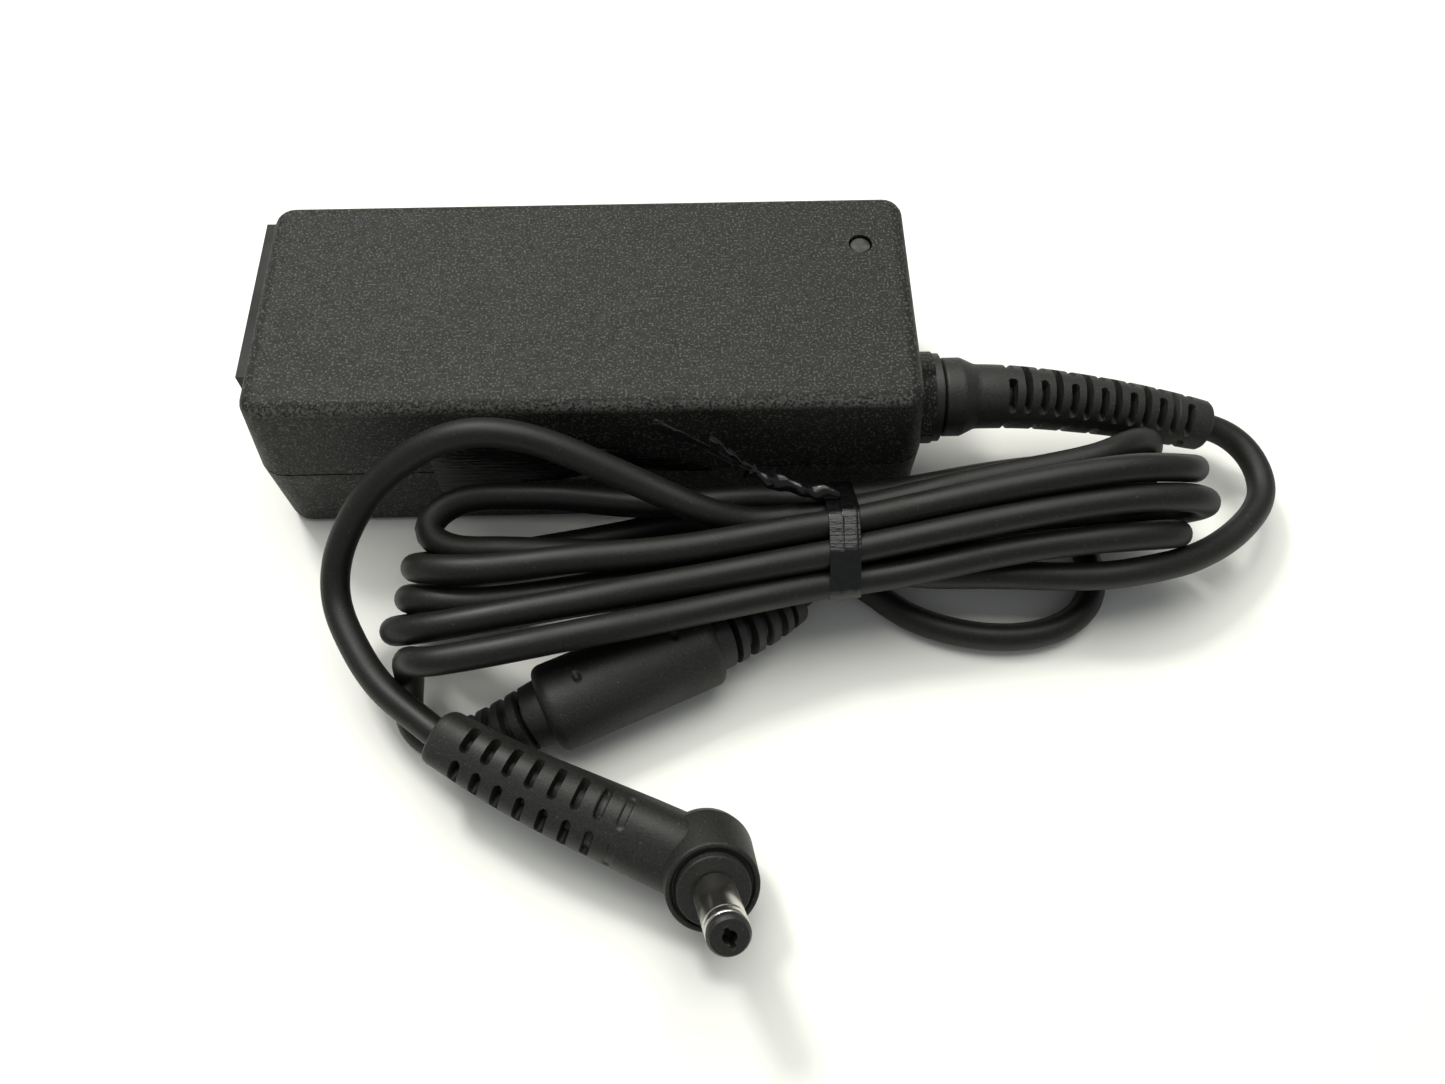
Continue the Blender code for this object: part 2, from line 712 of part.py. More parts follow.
def fat_copy(thing, radius):
    """A mesh of the same tube at a larger radius, to clear room for it."""
    wide = thing.copy()
    wide.data = thing.data.copy()
    wide.data.bevel_depth = radius
    bpy.context.scene.collection.objects.link(wide)
    bpy.context.view_layer.update()
    mesh = bpy.data.meshes.new_from_object(wide.evaluated_get(bpy.context.evaluated_depsgraph_get()))
    bpy.data.objects.remove(wide, do_unlink=True)
    shape = bmesh.new()
    shape.from_mesh(mesh)
    bmesh.ops.remove_doubles(shape, verts=shape.verts, dist=1e-7)
    bmesh.ops.recalc_face_normals(shape, faces=shape.faces)
    shape.to_mesh(mesh)
    shape.free()
    room = bpy.data.objects.new(thing.name + "_room", mesh)
    bpy.context.scene.collection.objects.link(room)
    room.parent = ROOT
    return room


def lean(x, across, through):
    """A point of the bundle from its place across the strands and through them, in mm."""
    y = across * math.sin(LEAN) - through * math.cos(LEAN)
    z = across * math.cos(LEAN) + through * math.sin(LEAN)
    return Vector((x, y, z)) * MM


def hank_section(x, middle, half, grow=0.0, sides=20, square=2.6):
    """A rounded section of the bundle: a superellipse across and through the strands."""
    points = []
    for side in range(sides):
        angle = 2 * math.pi * side / sides
        cosine, sine = math.cos(angle), math.sin(angle)
        across = math.copysign(abs(cosine) ** (2 / square), cosine) * (half[0] + grow)
        through = math.copysign(abs(sine) ** (2 / square), sine) * (half[1] + grow)
        points.append(lean(x, middle[0] + across, middle[1] + through))
    return points


# Sections of the bundle: x, (middle across, through), (half width across, through), in mm
HANK_AT_TIE = ((-23.6, 23.8), (7.2, 10.2))
HANK_SECTIONS = [
    (-28.4, (-27.2, 28.0), (6.0, 4.0)),
    (-26.5, (-27.2, 28.0), (9.0, 7.0)),
    (-22.0, (-27.2, 27.6), (10.6, 9.0)),
    (-8.0, (-26.2, 26.8), (9.6, 9.4)),
    (10.0, (-25.0, 25.6), (8.2, 9.6)),
    (26.0, (-23.6, 23.4), (6.8, 9.8)),
    (31.0, *HANK_AT_TIE),
    (41.0, *HANK_AT_TIE),
    (50.0, (-21.8, 22.4), (6.8, 9.8)),
    (68.0, (-19.0, 22.6), (7.4, 9.0)),
    (84.0, (-17.2, 22.0), (6.6, 8.6)),
    (90.0, (-17.0, 21.6), (5.4, 7.0)),
    (92.6, (-17.0, 21.4), (3.6, 4.6)),
]


def hank(tubes):
    """The wound part of the cord as one solid: its outer shape, cleared of the cord that passes it."""
    bundle = lofted("cord_hank", [hank_section(*section) for section in HANK_SECTIONS], "cord_pvc")
    wall = CASE_WIDTH / 2 + FILM_ROOM
    rooms = [
        box("table_room", (-60 * MM, -90 * MM, -20 * MM), (120 * MM, 0, 0.2 * MM), "cord_pvc"),
        box("case_room", (-60 * MM, -wall, -MM), (52 * MM, wall, 60 * MM), "cord_pvc"),
        swept("sleeve_room", SLEEVE_ROUTE, in_mm(SLEEVE_ROOM), "cord_pvc"),
    ]
    boolean(bundle, rooms + [fat_copy(thing, CORD_RADIUS + 1.2 * GAP) for thing in tubes])


def ferrite(lead):
    """A ferrite ring on the cord inside a moulded sleeve with ribbed ends. The cord runs through both."""
    left, right = Vector(FERRITE_LEFT), Vector(FERRITE_RIGHT)
    relief = [
        (0.0, 2.9), (0.04, 3.1), (0.045, 2.8), (0.07, 2.8), (0.075, 3.3), (0.11, 3.4), (0.115, 3.0),
        (0.14, 3.0), (0.145, 3.6), (0.18, 3.8), (0.185, 3.3), (0.21, 3.3), (0.215, 4.2), (0.235, 4.2),
        (0.237, 5.7), (0.25, 6.25), (0.50, 6.3), (0.73, 6.25), (0.745, 5.7), (0.747, 4.2), (0.775, 4.2),
        (0.78, 3.3), (0.81, 3.3), (0.815, 3.8), (0.85, 3.6), (0.855, 3.1), (0.885, 3.1), (0.89, 3.4),
        (0.925, 3.3), (0.93, 2.9), (0.96, 2.9), (0.965, 3.1), (1.0, 2.9),
    ]
    sleeve = swept("ferrite_overmould", SLEEVE_ROUTE, in_mm(relief), "overmould", sides=20)
    axis = (right - left).normalized()
    length = FERRITE_CORE_LENGTH / MM
    start = (left + right) / 2 - axis * length / 2
    pocket = cylinder(
        "core_pocket",
        (start - axis * GAP / MM) * MM,
        axis,
        FERRITE_CORE_RADIUS + GAP,
        FERRITE_CORE_LENGTH + 2 * GAP,
        "ferrite",
    )
    boolean(sleeve, [fat_copy(lead, CORD_RADIUS + GAP), pocket])
    turned(
        "ferrite_core",
        [(FERRITE_BORE, 0), (FERRITE_CORE_RADIUS, 0), (FERRITE_CORE_RADIUS, FERRITE_CORE_LENGTH),
         (FERRITE_BORE, FERRITE_CORE_LENGTH)],
        start * MM,
        axis,
        "ferrite",
    )


def plug():
    """A moulded angle plug: relief and head in one piece, a nickel barrel, its tip insulator and contact."""
    ring = Vector(PLUG_RING) * MM
    relief = [(0, 2.6), (0.03, 3.4), (0.1, 3.8), (0.5, 4.6), (0.85, 5.3), (1.0, 5.2)]
    body = swept("plug_body", PLUG_RELIEF_ROUTE, in_mm(relief), "overmould", flat=0.92)
    back, rim = HEAD_BACK, HEAD_RADIUS
    profile = [(0, -back - 4.6 * MM)]
    for step in range(1, 5):
        angle = math.pi / 2 * step / 5
        profile.append((rim * math.sin(angle), -back - 4.6 * MM * math.cos(angle)))
    collar, proud, bevel = 4.6 * MM, 0.8 * MM, 0.3 * MM
    profile += [(rim, -back), (rim, -bevel), (rim - bevel, 0), (collar, 0), (collar, proud), (0, proud)]
    head = turned("plug_head", profile, ring, PLUG_AXIS, "overmould", 32)
    boolean(body, [head], "UNION")
    start = ring + PLUG_AXIS * (0.8 * MM + GAP)
    inner = 1.9 * MM
    metal = BARREL_LENGTH - 1.4 * MM
    turned(
        "plug_barrel",
        [(inner, 0), (BARREL_RADIUS, 0), (BARREL_RADIUS, metal), (inner, metal)],
        start,
        PLUG_AXIS,
        "nickel",
        32,
    )
    tip = start + PLUG_AXIS * (metal + GAP)
    turned(
        "plug_insulator",
        [(1.25 * MM, 0), (BARREL_RADIUS - 0.05 * MM, 0), (BARREL_RADIUS - 0.05 * MM, 0.7 * MM),
         (BARREL_RADIUS - 0.45 * MM, 1.1 * MM), (1.25 * MM, 1.1 * MM)],
        tip,
        PLUG_AXIS,
        "overmould",
        32,
    )
    turned(
        "plug_contact",
        [(1.1 * MM, 0), (1.5 * MM, 0), (1.5 * MM, 8.0 * MM), (1.1 * MM, 8.0 * MM)],
        start,
        PLUG_AXIS,
        "brass",
        16,
    )


def twist_tie():
    """The film tie: a band round the bundle, its twisted neck, and the tail beyond the twist."""
    band = []
    left, right = TIE_X - TIE_HALF_WIDTH, TIE_X + TIE_HALF_WIDTH
    inner, outer = TIE_GROW
    for x, grow in ((left, outer), (right, outer), (right, inner), (left, inner)):
        band.append(hank_section(x, *HANK_AT_TIE, grow))
    sides = len(band[0])
    points = [point for ring in band for point in ring]
    faces = []
    for ring in range(4):
        after = (ring + 1) % 4
        for side in range(sides):
            beside = (side + 1) % sides
            faces.append(
                (ring * sides + side, ring * sides + beside, after * sides + beside, after * sides + side)
            )
    solid("tie_band", points, faces, "tie_film")
    tube("tie_neck", smooth_route(TIE_NECK_ROUTE, 2.5), 0.9 * MM, "tie_film")
    tube("tie_tail", smooth_route(TIE_TAIL_ROUTE, 3.0), 0.6 * MM, "tie_film")


def film_strip():
    """A loose strip of black film that stands between the case and the bundle."""
    back = -CASE_WIDTH / 2 - GAP
    sheets = [[Vector((x * MM, y, z * MM)) for x, z in FILM_CORNERS] for y in (back, back - FILM_THICK)]
    lofted("film_strip", sheets, "tie_film")


clear_scene()
ROOT = bpy.data.objects.new("adapter", None)
bpy.context.scene.collection.objects.link(ROOT)
ROOT.location.x = (INLET_PROUD - COLLAR_PROUD) / 2

housing()
inlet()
board()
mains_side()
primary_side()
transformer()
output_side()
inner_wires()
CORD_TUBES = output_cord()
hank(CORD_TUBES)
ferrite(CORD_TUBES[1])
plug()
twist_tie()
film_strip()
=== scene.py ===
# %% [markdown]
# # A laptop power adapter
# The real thing is a moulded case with a mains inlet in one end and a captive cord at the other.
# The cord is folded into a hank, held by a twist tie, and passes through a ferrite sleeve on its
# way to an angle plug. The measured solids are loaded first. They are in metres, and every piece
# made below is placed against them, so that nothing has to be fitted by eye.

# %% Load the measured solids
import math

import bmesh
import bpy
import numpy as np
from mathutils import Matrix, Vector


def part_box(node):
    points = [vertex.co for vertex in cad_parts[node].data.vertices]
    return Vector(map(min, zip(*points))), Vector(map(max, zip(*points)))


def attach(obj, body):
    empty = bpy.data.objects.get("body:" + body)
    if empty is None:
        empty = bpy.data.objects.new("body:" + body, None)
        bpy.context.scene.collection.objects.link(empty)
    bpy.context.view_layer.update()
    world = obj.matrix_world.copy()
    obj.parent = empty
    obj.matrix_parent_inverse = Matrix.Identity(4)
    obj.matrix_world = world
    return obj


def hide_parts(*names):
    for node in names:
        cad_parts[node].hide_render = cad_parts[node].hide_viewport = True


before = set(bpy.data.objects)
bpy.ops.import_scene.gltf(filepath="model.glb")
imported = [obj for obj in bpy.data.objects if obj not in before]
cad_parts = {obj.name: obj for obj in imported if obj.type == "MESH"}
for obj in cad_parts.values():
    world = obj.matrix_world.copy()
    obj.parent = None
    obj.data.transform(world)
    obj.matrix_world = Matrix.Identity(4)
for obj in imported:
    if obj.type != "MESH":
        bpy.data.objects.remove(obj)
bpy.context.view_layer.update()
MM = 0.001
cover_low, cover_high = (np.array(corner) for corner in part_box("top_cover"))
HALF_LENGTH = 48.5
MIDDLE = np.array([cover_low[0] + HALF_LENGTH * MM, 0.0, 0.0])


def placed(points):
    """Points in mm from the point under the middle of the case, in metres: points * 0.001 + that place."""
    return np.asarray(points, float) * MM + MIDDLE


print("solids:", len(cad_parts), " case top:", np.round(cover_high / MM, 1))

# %% [markdown]
# ## Camera
# The adapter is seen from in front and well above, with the cord nearest to the viewer. A camera
# that looks straight down shows no front wall, and a low one hides the cord behind itself. A
# pitch of 29 degrees from straight down shows both, so the camera is turned by three small
# rotations, about X first and then Y and Z.

# %% Place the camera
CAMERA_PLACE = (16.46, -114.62, 162.31)
CAMERA_TURN = (28.94, -0.12, -1.46)
LENS = 29.89

turn_x, turn_y, turn_z = (Matrix.Rotation(math.radians(a), 4, axis) for a, axis in zip(CAMERA_TURN, "XYZ"))
camera_data = bpy.data.cameras.new("camera")
camera_data.sensor_width = 36
camera_data.lens = LENS
camera_data.clip_start = 0.01
camera = bpy.data.objects.new("camera", camera_data)
bpy.context.scene.collection.objects.link(camera)
camera.matrix_world = Matrix.Translation(placed(CAMERA_PLACE)) @ turn_z @ turn_y @ turn_x
bpy.context.scene.camera = camera
print("camera at", np.round(np.array(camera.matrix_world.translation) / MM, 1))

# %% [markdown]
# ## Floor and light
# A black object on a white table is lit like this: a large soft source above and behind draws a
# pale line along the back of every strand, and a bright room fills in the rest. The floor is one
# large quad just under the case.

# %% Make the floor, the room and the lamps
FLOOR_HALF = 3.0
FLOOR_WHITE = (0.86, 0.86, 0.81, 1.0)
FLOOR_ROUGHNESS = 0.5
ROOM_LIGHT = 0.33
ROOM_COLOUR = (0.93, 0.965, 1.0, 1.0)

floor_mesh = bpy.data.meshes.new("floor")
corners = [(x, y, 0) for x, y in ((-1, -1), (1, -1), (1, 1), (-1, 1))]
corners = [(x * FLOOR_HALF, y * FLOOR_HALF, z) for x, y, z in corners]
floor_mesh.from_pydata(corners, [], [(0, 1, 2, 3)])
floor = bpy.data.objects.new("floor", floor_mesh)
bpy.context.scene.collection.objects.link(floor)
floor_white = bpy.data.materials.new("floor_white")
floor_white.use_nodes = True
floor_shader = floor_white.node_tree.nodes["Principled BSDF"]
floor_shader.inputs["Base Color"].default_value = FLOOR_WHITE
floor_shader.inputs["Roughness"].default_value = FLOOR_ROUGHNESS
floor_mesh.materials.append(floor_white)

room = bpy.data.worlds.new("room")
room.use_nodes = True
room.node_tree.nodes["Background"].inputs["Color"].default_value = ROOM_COLOUR
room.node_tree.nodes["Background"].inputs["Strength"].default_value = ROOM_LIGHT
bpy.context.scene.world = room
bpy.context.scene.view_settings.view_transform = "Standard"


def lamp(name, place, aim, size, watts, colour=(1.0, 1.0, 1.0)):
    """A square soft lamp at place, in mm, that faces aim."""
    data = bpy.data.lights.new(name, "AREA")
    data.shape = "SQUARE"
    data.size = size * MM
    data.energy = watts
    data.color = colour
    thing = bpy.data.objects.new(name, data)
    bpy.context.scene.collection.objects.link(thing)
    start, end = placed(place), placed(aim)
    back = start - end
    back = back / np.linalg.norm(back)
    side = np.cross((0.0, 0.0, 1.0), back)
    side = side / np.linalg.norm(side)
    up = np.cross(back, side)
    way = Matrix(np.column_stack([side, up, back]).tolist()).to_4x4()
    thing.matrix_world = Matrix.Translation(start) @ way
    return thing


lamp("ceiling_lamp", (10, 330, 950), (10, -20, 10), 1000, 10.5, (1.0, 1.0, 0.94))
lamp("window_lamp", (-260, 330, 640), (20, -30, 10), 130, 2.6, (1.0, 0.985, 0.955))

# %% [markdown]
# ## Finishes
# Moulded plastic is never one flat grey. Its grain is a fine bump, its colour wanders a little,
# and its gloss changes where it has been handled. All of that can come from noise that is read
# at the point's own place on the object, so nothing has to be unwrapped. Real sizes are given in
# millimetres: a noise of scale 1000 / size has features of about that size in metres.

# %% Helpers that wire up a finish
FINISHES = {}
NOISE_LOW, NOISE_HIGH = 0.3, 0.7
HIGHLIGHT_BREAK_LOW, HIGHLIGHT_BREAK_HIGH = 0.40, 0.62
GLINT_EDGE = 0.06
ROUGH_SWING = 0.15
SCRATCH_SIZE = 6.0
SCRATCH_STRETCH = (1.0, 9.0, 9.0)


def add_node(tree, kind, **settings):
    """A new shader node. A setting that names an input fills that input, and any other is the node's own."""
    node = tree.nodes.new(kind)
    for name, value in settings.items():
        if hasattr(node, name):
            setattr(node, name, value)
        else:
            node.inputs[name.replace("_", " ").title()].default_value = value
    return node


def noise(tree, where, size, detail=3.0, roughness=0.6):
    """Noise with features about size mm across."""
    node = add_node(tree, "ShaderNodeTexNoise", scale=1000.0 / size, detail=detail, roughness=roughness)
    tree.links.new(where, node.inputs["Vector"])
    return node.outputs["Fac"]


def ranged(tree, value, low, high, to_low, to_high):
    """The value moved from low..high to to_low..to_high, and held there outside."""
    node = add_node(tree, "ShaderNodeMapRange")
    for name, number in (("From Min", low), ("From Max", high), ("To Min", to_low), ("To Max", to_high)):
        node.inputs[name].default_value = number
    tree.links.new(value, node.inputs["Value"])
    return node.outputs["Result"]


def product(tree, *values):
    """The values multiplied together."""
    total = values[0]
    for value in values[1:]:
        node = tree.nodes.new("ShaderNodeMath")
        node.operation = "MULTIPLY"
        tree.links.new(total, node.inputs[0])
        tree.links.new(value, node.inputs[1])
        total = node.outputs[0]
    return total


def mixed(tree, share, first, second):
    """The first colour where share is 0, the second where it is 1. A colour is three numbers or a socket."""
    node = tree.nodes.new("ShaderNodeMix")
    node.data_type = "RGBA"
    tree.links.new(share, node.inputs[0])
    for place, colour in ((6, first), (7, second)):
        if isinstance(colour, tuple):
            node.inputs[place].default_value = (*colour, 1.0)
        else:
            tree.links.new(colour, node.inputs[place])
    return node.outputs[2]


def finish(
    name, dark, light, rough, grain=0.3, height=0.03, mottle=9.0, metallic=0.0, coat=0.0, glint_flecks=0.0,
    glint_colour=(0.35, 0.35, 0.34), specular=0.5, painted_edge_highlight=None, edge=None, scratch=0.0, glint_share=0.70,
):
    """A Principled finish. Fine noise of grain mm mixes dark to light and raises a bump of height mm.
    Broad noise of mottle mm moves the roughness by 15 %. Flecks are painted glints: rare bright points put
    into the colour. A painted highlight colour comes in where y falls and z rises through the two ranges of
    edge, in mm."""
    material = bpy.data.materials.new(name)
    material.use_nodes = True
    tree = material.node_tree
    shader = tree.nodes["Principled BSDF"]
    where = tree.nodes.new("ShaderNodeTexCoord").outputs["Object"]
    fine = noise(tree, where, grain)
    broad = noise(tree, where, mottle, 2.0)
    colour = mixed(tree, ranged(tree, fine, NOISE_LOW, NOISE_HIGH, 0.0, 1.0), dark, light)
    # Painted highlight: a lighter colour along an edge, where y falls and z rises through its ranges, broken
    # up by noise.
    if painted_edge_highlight:
        split = tree.nodes.new("ShaderNodeSeparateXYZ")
        tree.links.new(where, split.inputs[0])
        y_low, y_high, z_low, z_high = (number * MM for number in edge)
        share = product(
            tree,
            ranged(tree, split.outputs["Y"], y_low, y_high, 1.0, 0.0),
            ranged(tree, split.outputs["Z"], z_low, z_high, 0.0, 1.0),
            ranged(tree, noise(tree, where, grain * 1.5, 2.0), HIGHLIGHT_BREAK_LOW, HIGHLIGHT_BREAK_HIGH, 0.0, 1.0),
        )
        colour = mixed(tree, share, colour, painted_edge_highlight)
    # Painted glints: rare bright points put into the colour.
    if glint_flecks:
        glint_noise = noise(tree, where, grain * 1.2, 1.0, 0.4)
        painted_glints = ranged(tree, glint_noise, glint_share, glint_share + GLINT_EDGE, 0.0, glint_flecks)
        colour = mixed(tree, painted_glints, colour, glint_colour)
    tree.links.new(colour, shader.inputs["Base Color"])
    rough_low, rough_high = rough * (1 - ROUGH_SWING), min(1.0, rough * (1 + ROUGH_SWING))
    gloss = ranged(tree, broad, NOISE_LOW, NOISE_HIGH, rough_low, rough_high)
    tree.links.new(gloss, shader.inputs["Roughness"])
    bump = add_node(tree, "ShaderNodeBump", strength=1.0)
    bump.inputs["Distance"].default_value = height * MM
    tree.links.new(fine, bump.inputs["Height"])
    last = bump
    if scratch:
        stretch = add_node(tree, "ShaderNodeMapping")
        stretch.inputs["Scale"].default_value = SCRATCH_STRETCH
        tree.links.new(where, stretch.inputs["Vector"])
        lines = noise(tree, stretch.outputs["Vector"], SCRATCH_SIZE, 3.0)
        last = add_node(tree, "ShaderNodeBump", strength=1.0)
        last.inputs["Distance"].default_value = scratch * MM
        tree.links.new(lines, last.inputs["Height"])
        tree.links.new(bump.outputs["Normal"], last.inputs["Normal"])
    tree.links.new(last.outputs["Normal"], shader.inputs["Normal"])
    shader.inputs["Metallic"].default_value = metallic
    shader.inputs["Coat Weight"].default_value = coat
    shader.inputs["Specular IOR Level"].default_value = specular
    FINISHES[name] = material
    return material


# %% [markdown]
# The visible plastics come first: the case's spark-eroded grain, the smoother black of the cord,
# the harder rubber of the boot and plug, and the glossy film of the tie.

# %% Mix the plastics
# The lighter colour along the case's front top edge is a painted highlight on the fillet, and its flecks are
# painted glints.
FRONT_TOP_EDGE = (-19.6, -17.9, 26.6, 27.9)
finish("case_plastic", (0.003, 0.003, 0.0024), (0.015, 0.015, 0.0125), 0.56, grain=0.27, height=0.10,
       mottle=1.0, glint_flecks=0.7, glint_colour=(0.095, 0.095, 0.085), glint_share=0.58, specular=0.27,
       painted_edge_highlight=(0.22, 0.22, 0.20), edge=FRONT_TOP_EDGE)
finish("inlet_plastic", (0.003, 0.003, 0.003), (0.009, 0.009, 0.009), 0.5, grain=0.25, height=0.02,
       specular=0.2)
# The flecks of the cord and the overmould are painted glints.
finish("cord_pvc", (0.004, 0.004, 0.0033), (0.011, 0.011, 0.0092), 0.48, grain=0.35, height=0.012,
       mottle=14.0, glint_flecks=0.3, glint_colour=(0.07, 0.07, 0.063), specular=0.33)
finish("overmould", (0.005, 0.005, 0.004), (0.019, 0.019, 0.0165), 0.54, grain=0.3, height=0.035,
       glint_flecks=0.3, glint_colour=(0.11, 0.11, 0.10), specular=0.42)
finish("tie_film", (0.002, 0.002, 0.002), (0.006, 0.006, 0.006), 0.22, grain=0.9, height=0.05,
       scratch=0.09, specular=0.42)
finish("nickel", (0.50, 0.48, 0.44), (0.66, 0.64, 0.60), 0.24, grain=0.5, height=0.004,
       metallic=1.0, scratch=0.01)
finish("brass", (0.55, 0.38, 0.14), (0.72, 0.52, 0.22), 0.3, grain=0.4, height=0.005, metallic=1.0)
finish("lens", (0.04, 0.042, 0.04), (0.08, 0.084, 0.08), 0.5, grain=1.0, height=0.01, specular=0.2)
finish("led_epoxy", (0.05, 0.30, 0.08), (0.10, 0.45, 0.14), 0.2, grain=0.8, height=0.005, coat=0.3)
finish("label", (0.30, 0.30, 0.30), (0.40, 0.40, 0.395), 0.35, grain=0.5, height=0.004)
print("plastics:", len(FINISHES))

# %% [markdown]
# Inside the case are a green circuit board and its parts. They are seen only when the cover is
# off, but each still gets the finish of its real material.

# %% Mix the inner finishes
finish("board", (0.010, 0.075, 0.028), (0.020, 0.120, 0.045), 0.35, grain=0.6, height=0.01, coat=0.3)
finish("insulation", (0.62, 0.60, 0.50), (0.72, 0.70, 0.60), 0.4, grain=0.7, height=0.01)
finish("capacitor_sleeve", (0.012, 0.014, 0.04), (0.022, 0.025, 0.07), 0.28, grain=0.8, height=0.01, coat=0.2)
finish("film_capacitor", (0.45, 0.28, 0.03), (0.58, 0.38, 0.05), 0.4, grain=0.5, height=0.02)
finish("disc_capacitor", (0.04, 0.14, 0.40), (0.06, 0.20, 0.50), 0.3, grain=0.6, height=0.03, coat=0.3)
finish("ferrite", (0.022, 0.022, 0.024), (0.060, 0.060, 0.064), 0.62, grain=0.25, height=0.03)
finish("copper_wire", (0.42, 0.14, 0.05), (0.66, 0.26, 0.10), 0.28, grain=0.5, height=0.05,
       metallic=1.0, scratch=0.1)
finish("winding_tape", (0.60, 0.42, 0.03), (0.78, 0.58, 0.08), 0.3, grain=1.2, height=0.03)
finish("aluminium", (0.50, 0.51, 0.52), (0.66, 0.67, 0.68), 0.34, grain=0.4, height=0.01,
       metallic=1.0, scratch=0.03)
finish("epoxy", (0.012, 0.012, 0.013), (0.028, 0.028, 0.030), 0.42, grain=0.2, height=0.02)
WIRE_COLOURS = (
    ("brown", (0.10, 0.035, 0.012)),
    ("blue", (0.015, 0.06, 0.30)),
    ("red", (0.40, 0.015, 0.012)),
    ("black", (0.012, 0.012, 0.012)),
)
for wire, colour in WIRE_COLOURS:
    lighter = tuple(min(1.0, 1.6 * part) for part in colour)
    finish("wire_" + wire, colour, lighter, 0.38, grain=0.4, height=0.01)

for name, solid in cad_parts.items():
    slot = solid.data.materials[0].name.split(".")[0]
    solid.data.materials[0] = FINISHES[slot]
print("finishes:", len(FINISHES))

# %% [markdown]
# ## From grids to meshes
# Every new piece is a grid of points: rows along it and columns round it. A grid turns into quads
# by joining each point to its neighbours, and the two open ends are closed by a fan of triangles
# to the middle of the end row. Some pieces are made of several such shells.

# %% Helpers that turn grids into pieces
def shell(grid, first=True, last=True):
    """(points, quads, triangles) of a tube. Column c joins column c + 1, the last joins the first, and each
    end that is closed gets one point at the mean of its row."""
    rows, columns = grid.shape[:2]
    index = np.arange(rows * columns).reshape(rows, columns)
    beside = np.roll(index, -1, axis=1)
    quads = np.stack([index[:-1], beside[:-1], beside[1:], index[1:]], axis=-1).reshape(-1, 4)
    points = [grid.reshape(-1, 3)]
    triangles = []
    count = rows * columns
    for closed, row, turned in ((first, 0, True), (last, -1, False)):
        if not closed:
            continue
        points.append(grid[row].mean(axis=0)[None])
        middle = np.full(columns, count)
        count += 1
        ring = (beside[row], index[row]) if turned else (index[row], beside[row])
        triangles.append(np.stack([*ring, middle], axis=-1))
    triangles = np.concatenate(triangles) if triangles else np.zeros((0, 3), int)
    return np.concatenate(points), quads, triangles


def weld(mesh):
    """Points within a ten-thousandth of a millimetre become one, which closes seams and poles."""
    shape = bmesh.new()
    shape.from_mesh(mesh)
    bmesh.ops.remove_doubles(shape, verts=shape.verts, dist=0.0001 * MM)
    bmesh.ops.dissolve_degenerate(shape, edges=shape.edges, dist=0.0001 * MM)
    shape.to_mesh(mesh)
    shape.free()


def piece(name, shells, material, sharp=None):
    """One object from its shells, in metres, smooth-shaded, riding on the body. sharp is the angle in degrees
    from which an edge stays crisp."""
    points, quads, triangles, count = [], [], [], 0
    for some_points, some_quads, some_triangles in shells:
        points.append(some_points)
        quads.append(some_quads + count)
        triangles.append(some_triangles + count)
        count += len(some_points)
    points, quads, triangles = (np.concatenate(part) for part in (points, quads, triangles))
    mesh = bpy.data.meshes.new(name)
    mesh.vertices.add(len(points))
    mesh.vertices.foreach_set("co", placed(points).ravel())
    corners = np.concatenate([quads.ravel(), triangles.ravel()])
    mesh.loops.add(len(corners))
    mesh.loops.foreach_set("vertex_index", corners)
    starts = np.concatenate([4 * np.arange(len(quads)), 4 * len(quads) + 3 * np.arange(len(triangles))])
    mesh.polygons.add(len(starts))
    mesh.polygons.foreach_set("loop_start", starts)
    mesh.update(calc_edges=True)
    weld(mesh)
    mesh.shade_smooth()
    if sharp:
        mesh.set_sharp_from_angle(angle=math.radians(sharp))
    mesh.materials.append(FINISHES[material])
    thing = bpy.data.objects.new(name, mesh)
    bpy.context.scene.collection.objects.link(thing)
    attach(thing, "root")
    print(f"{name}: {len(points)} points, {2 * len(quads) + len(triangles)} triangles")
    return thing


def frames(line, start):
    """(forward, side, up) at each point of a line. The side begins as near to start as it can, and is carried
    along without twist: each is the one before, less its part along the new forward."""
    forward = np.gradient(line, axis=0)
    forward /= np.linalg.norm(forward, axis=1)[:, None]
    side = np.empty_like(forward)
    last = np.array(start, float)
    for step, way in enumerate(forward):
        last = last - way * (last @ way)
        last /= np.linalg.norm(last)
        side[step] = last
    return forward, side, np.cross(forward, side)


def tube_grid(line, radius, columns, start=(0.0, 0.0, 1.0)):
    """Points at middle + radius * (cos a * side + sin a * up), where radius is a number, a value per row,
    or a value per row and column."""
    angle = np.linspace(0, 2 * np.pi, columns, endpoint=False)
    _, side, up = frames(line, start)
    ring = np.cos(angle)[None, :, None] * side[:, None] + np.sin(angle)[None, :, None] * up[:, None]
    radius = np.asarray(radius, float)
    radius = radius.reshape(radius.shape + (1,) * (2 - radius.ndim))
    return line[:, None] + radius[..., None] * ring


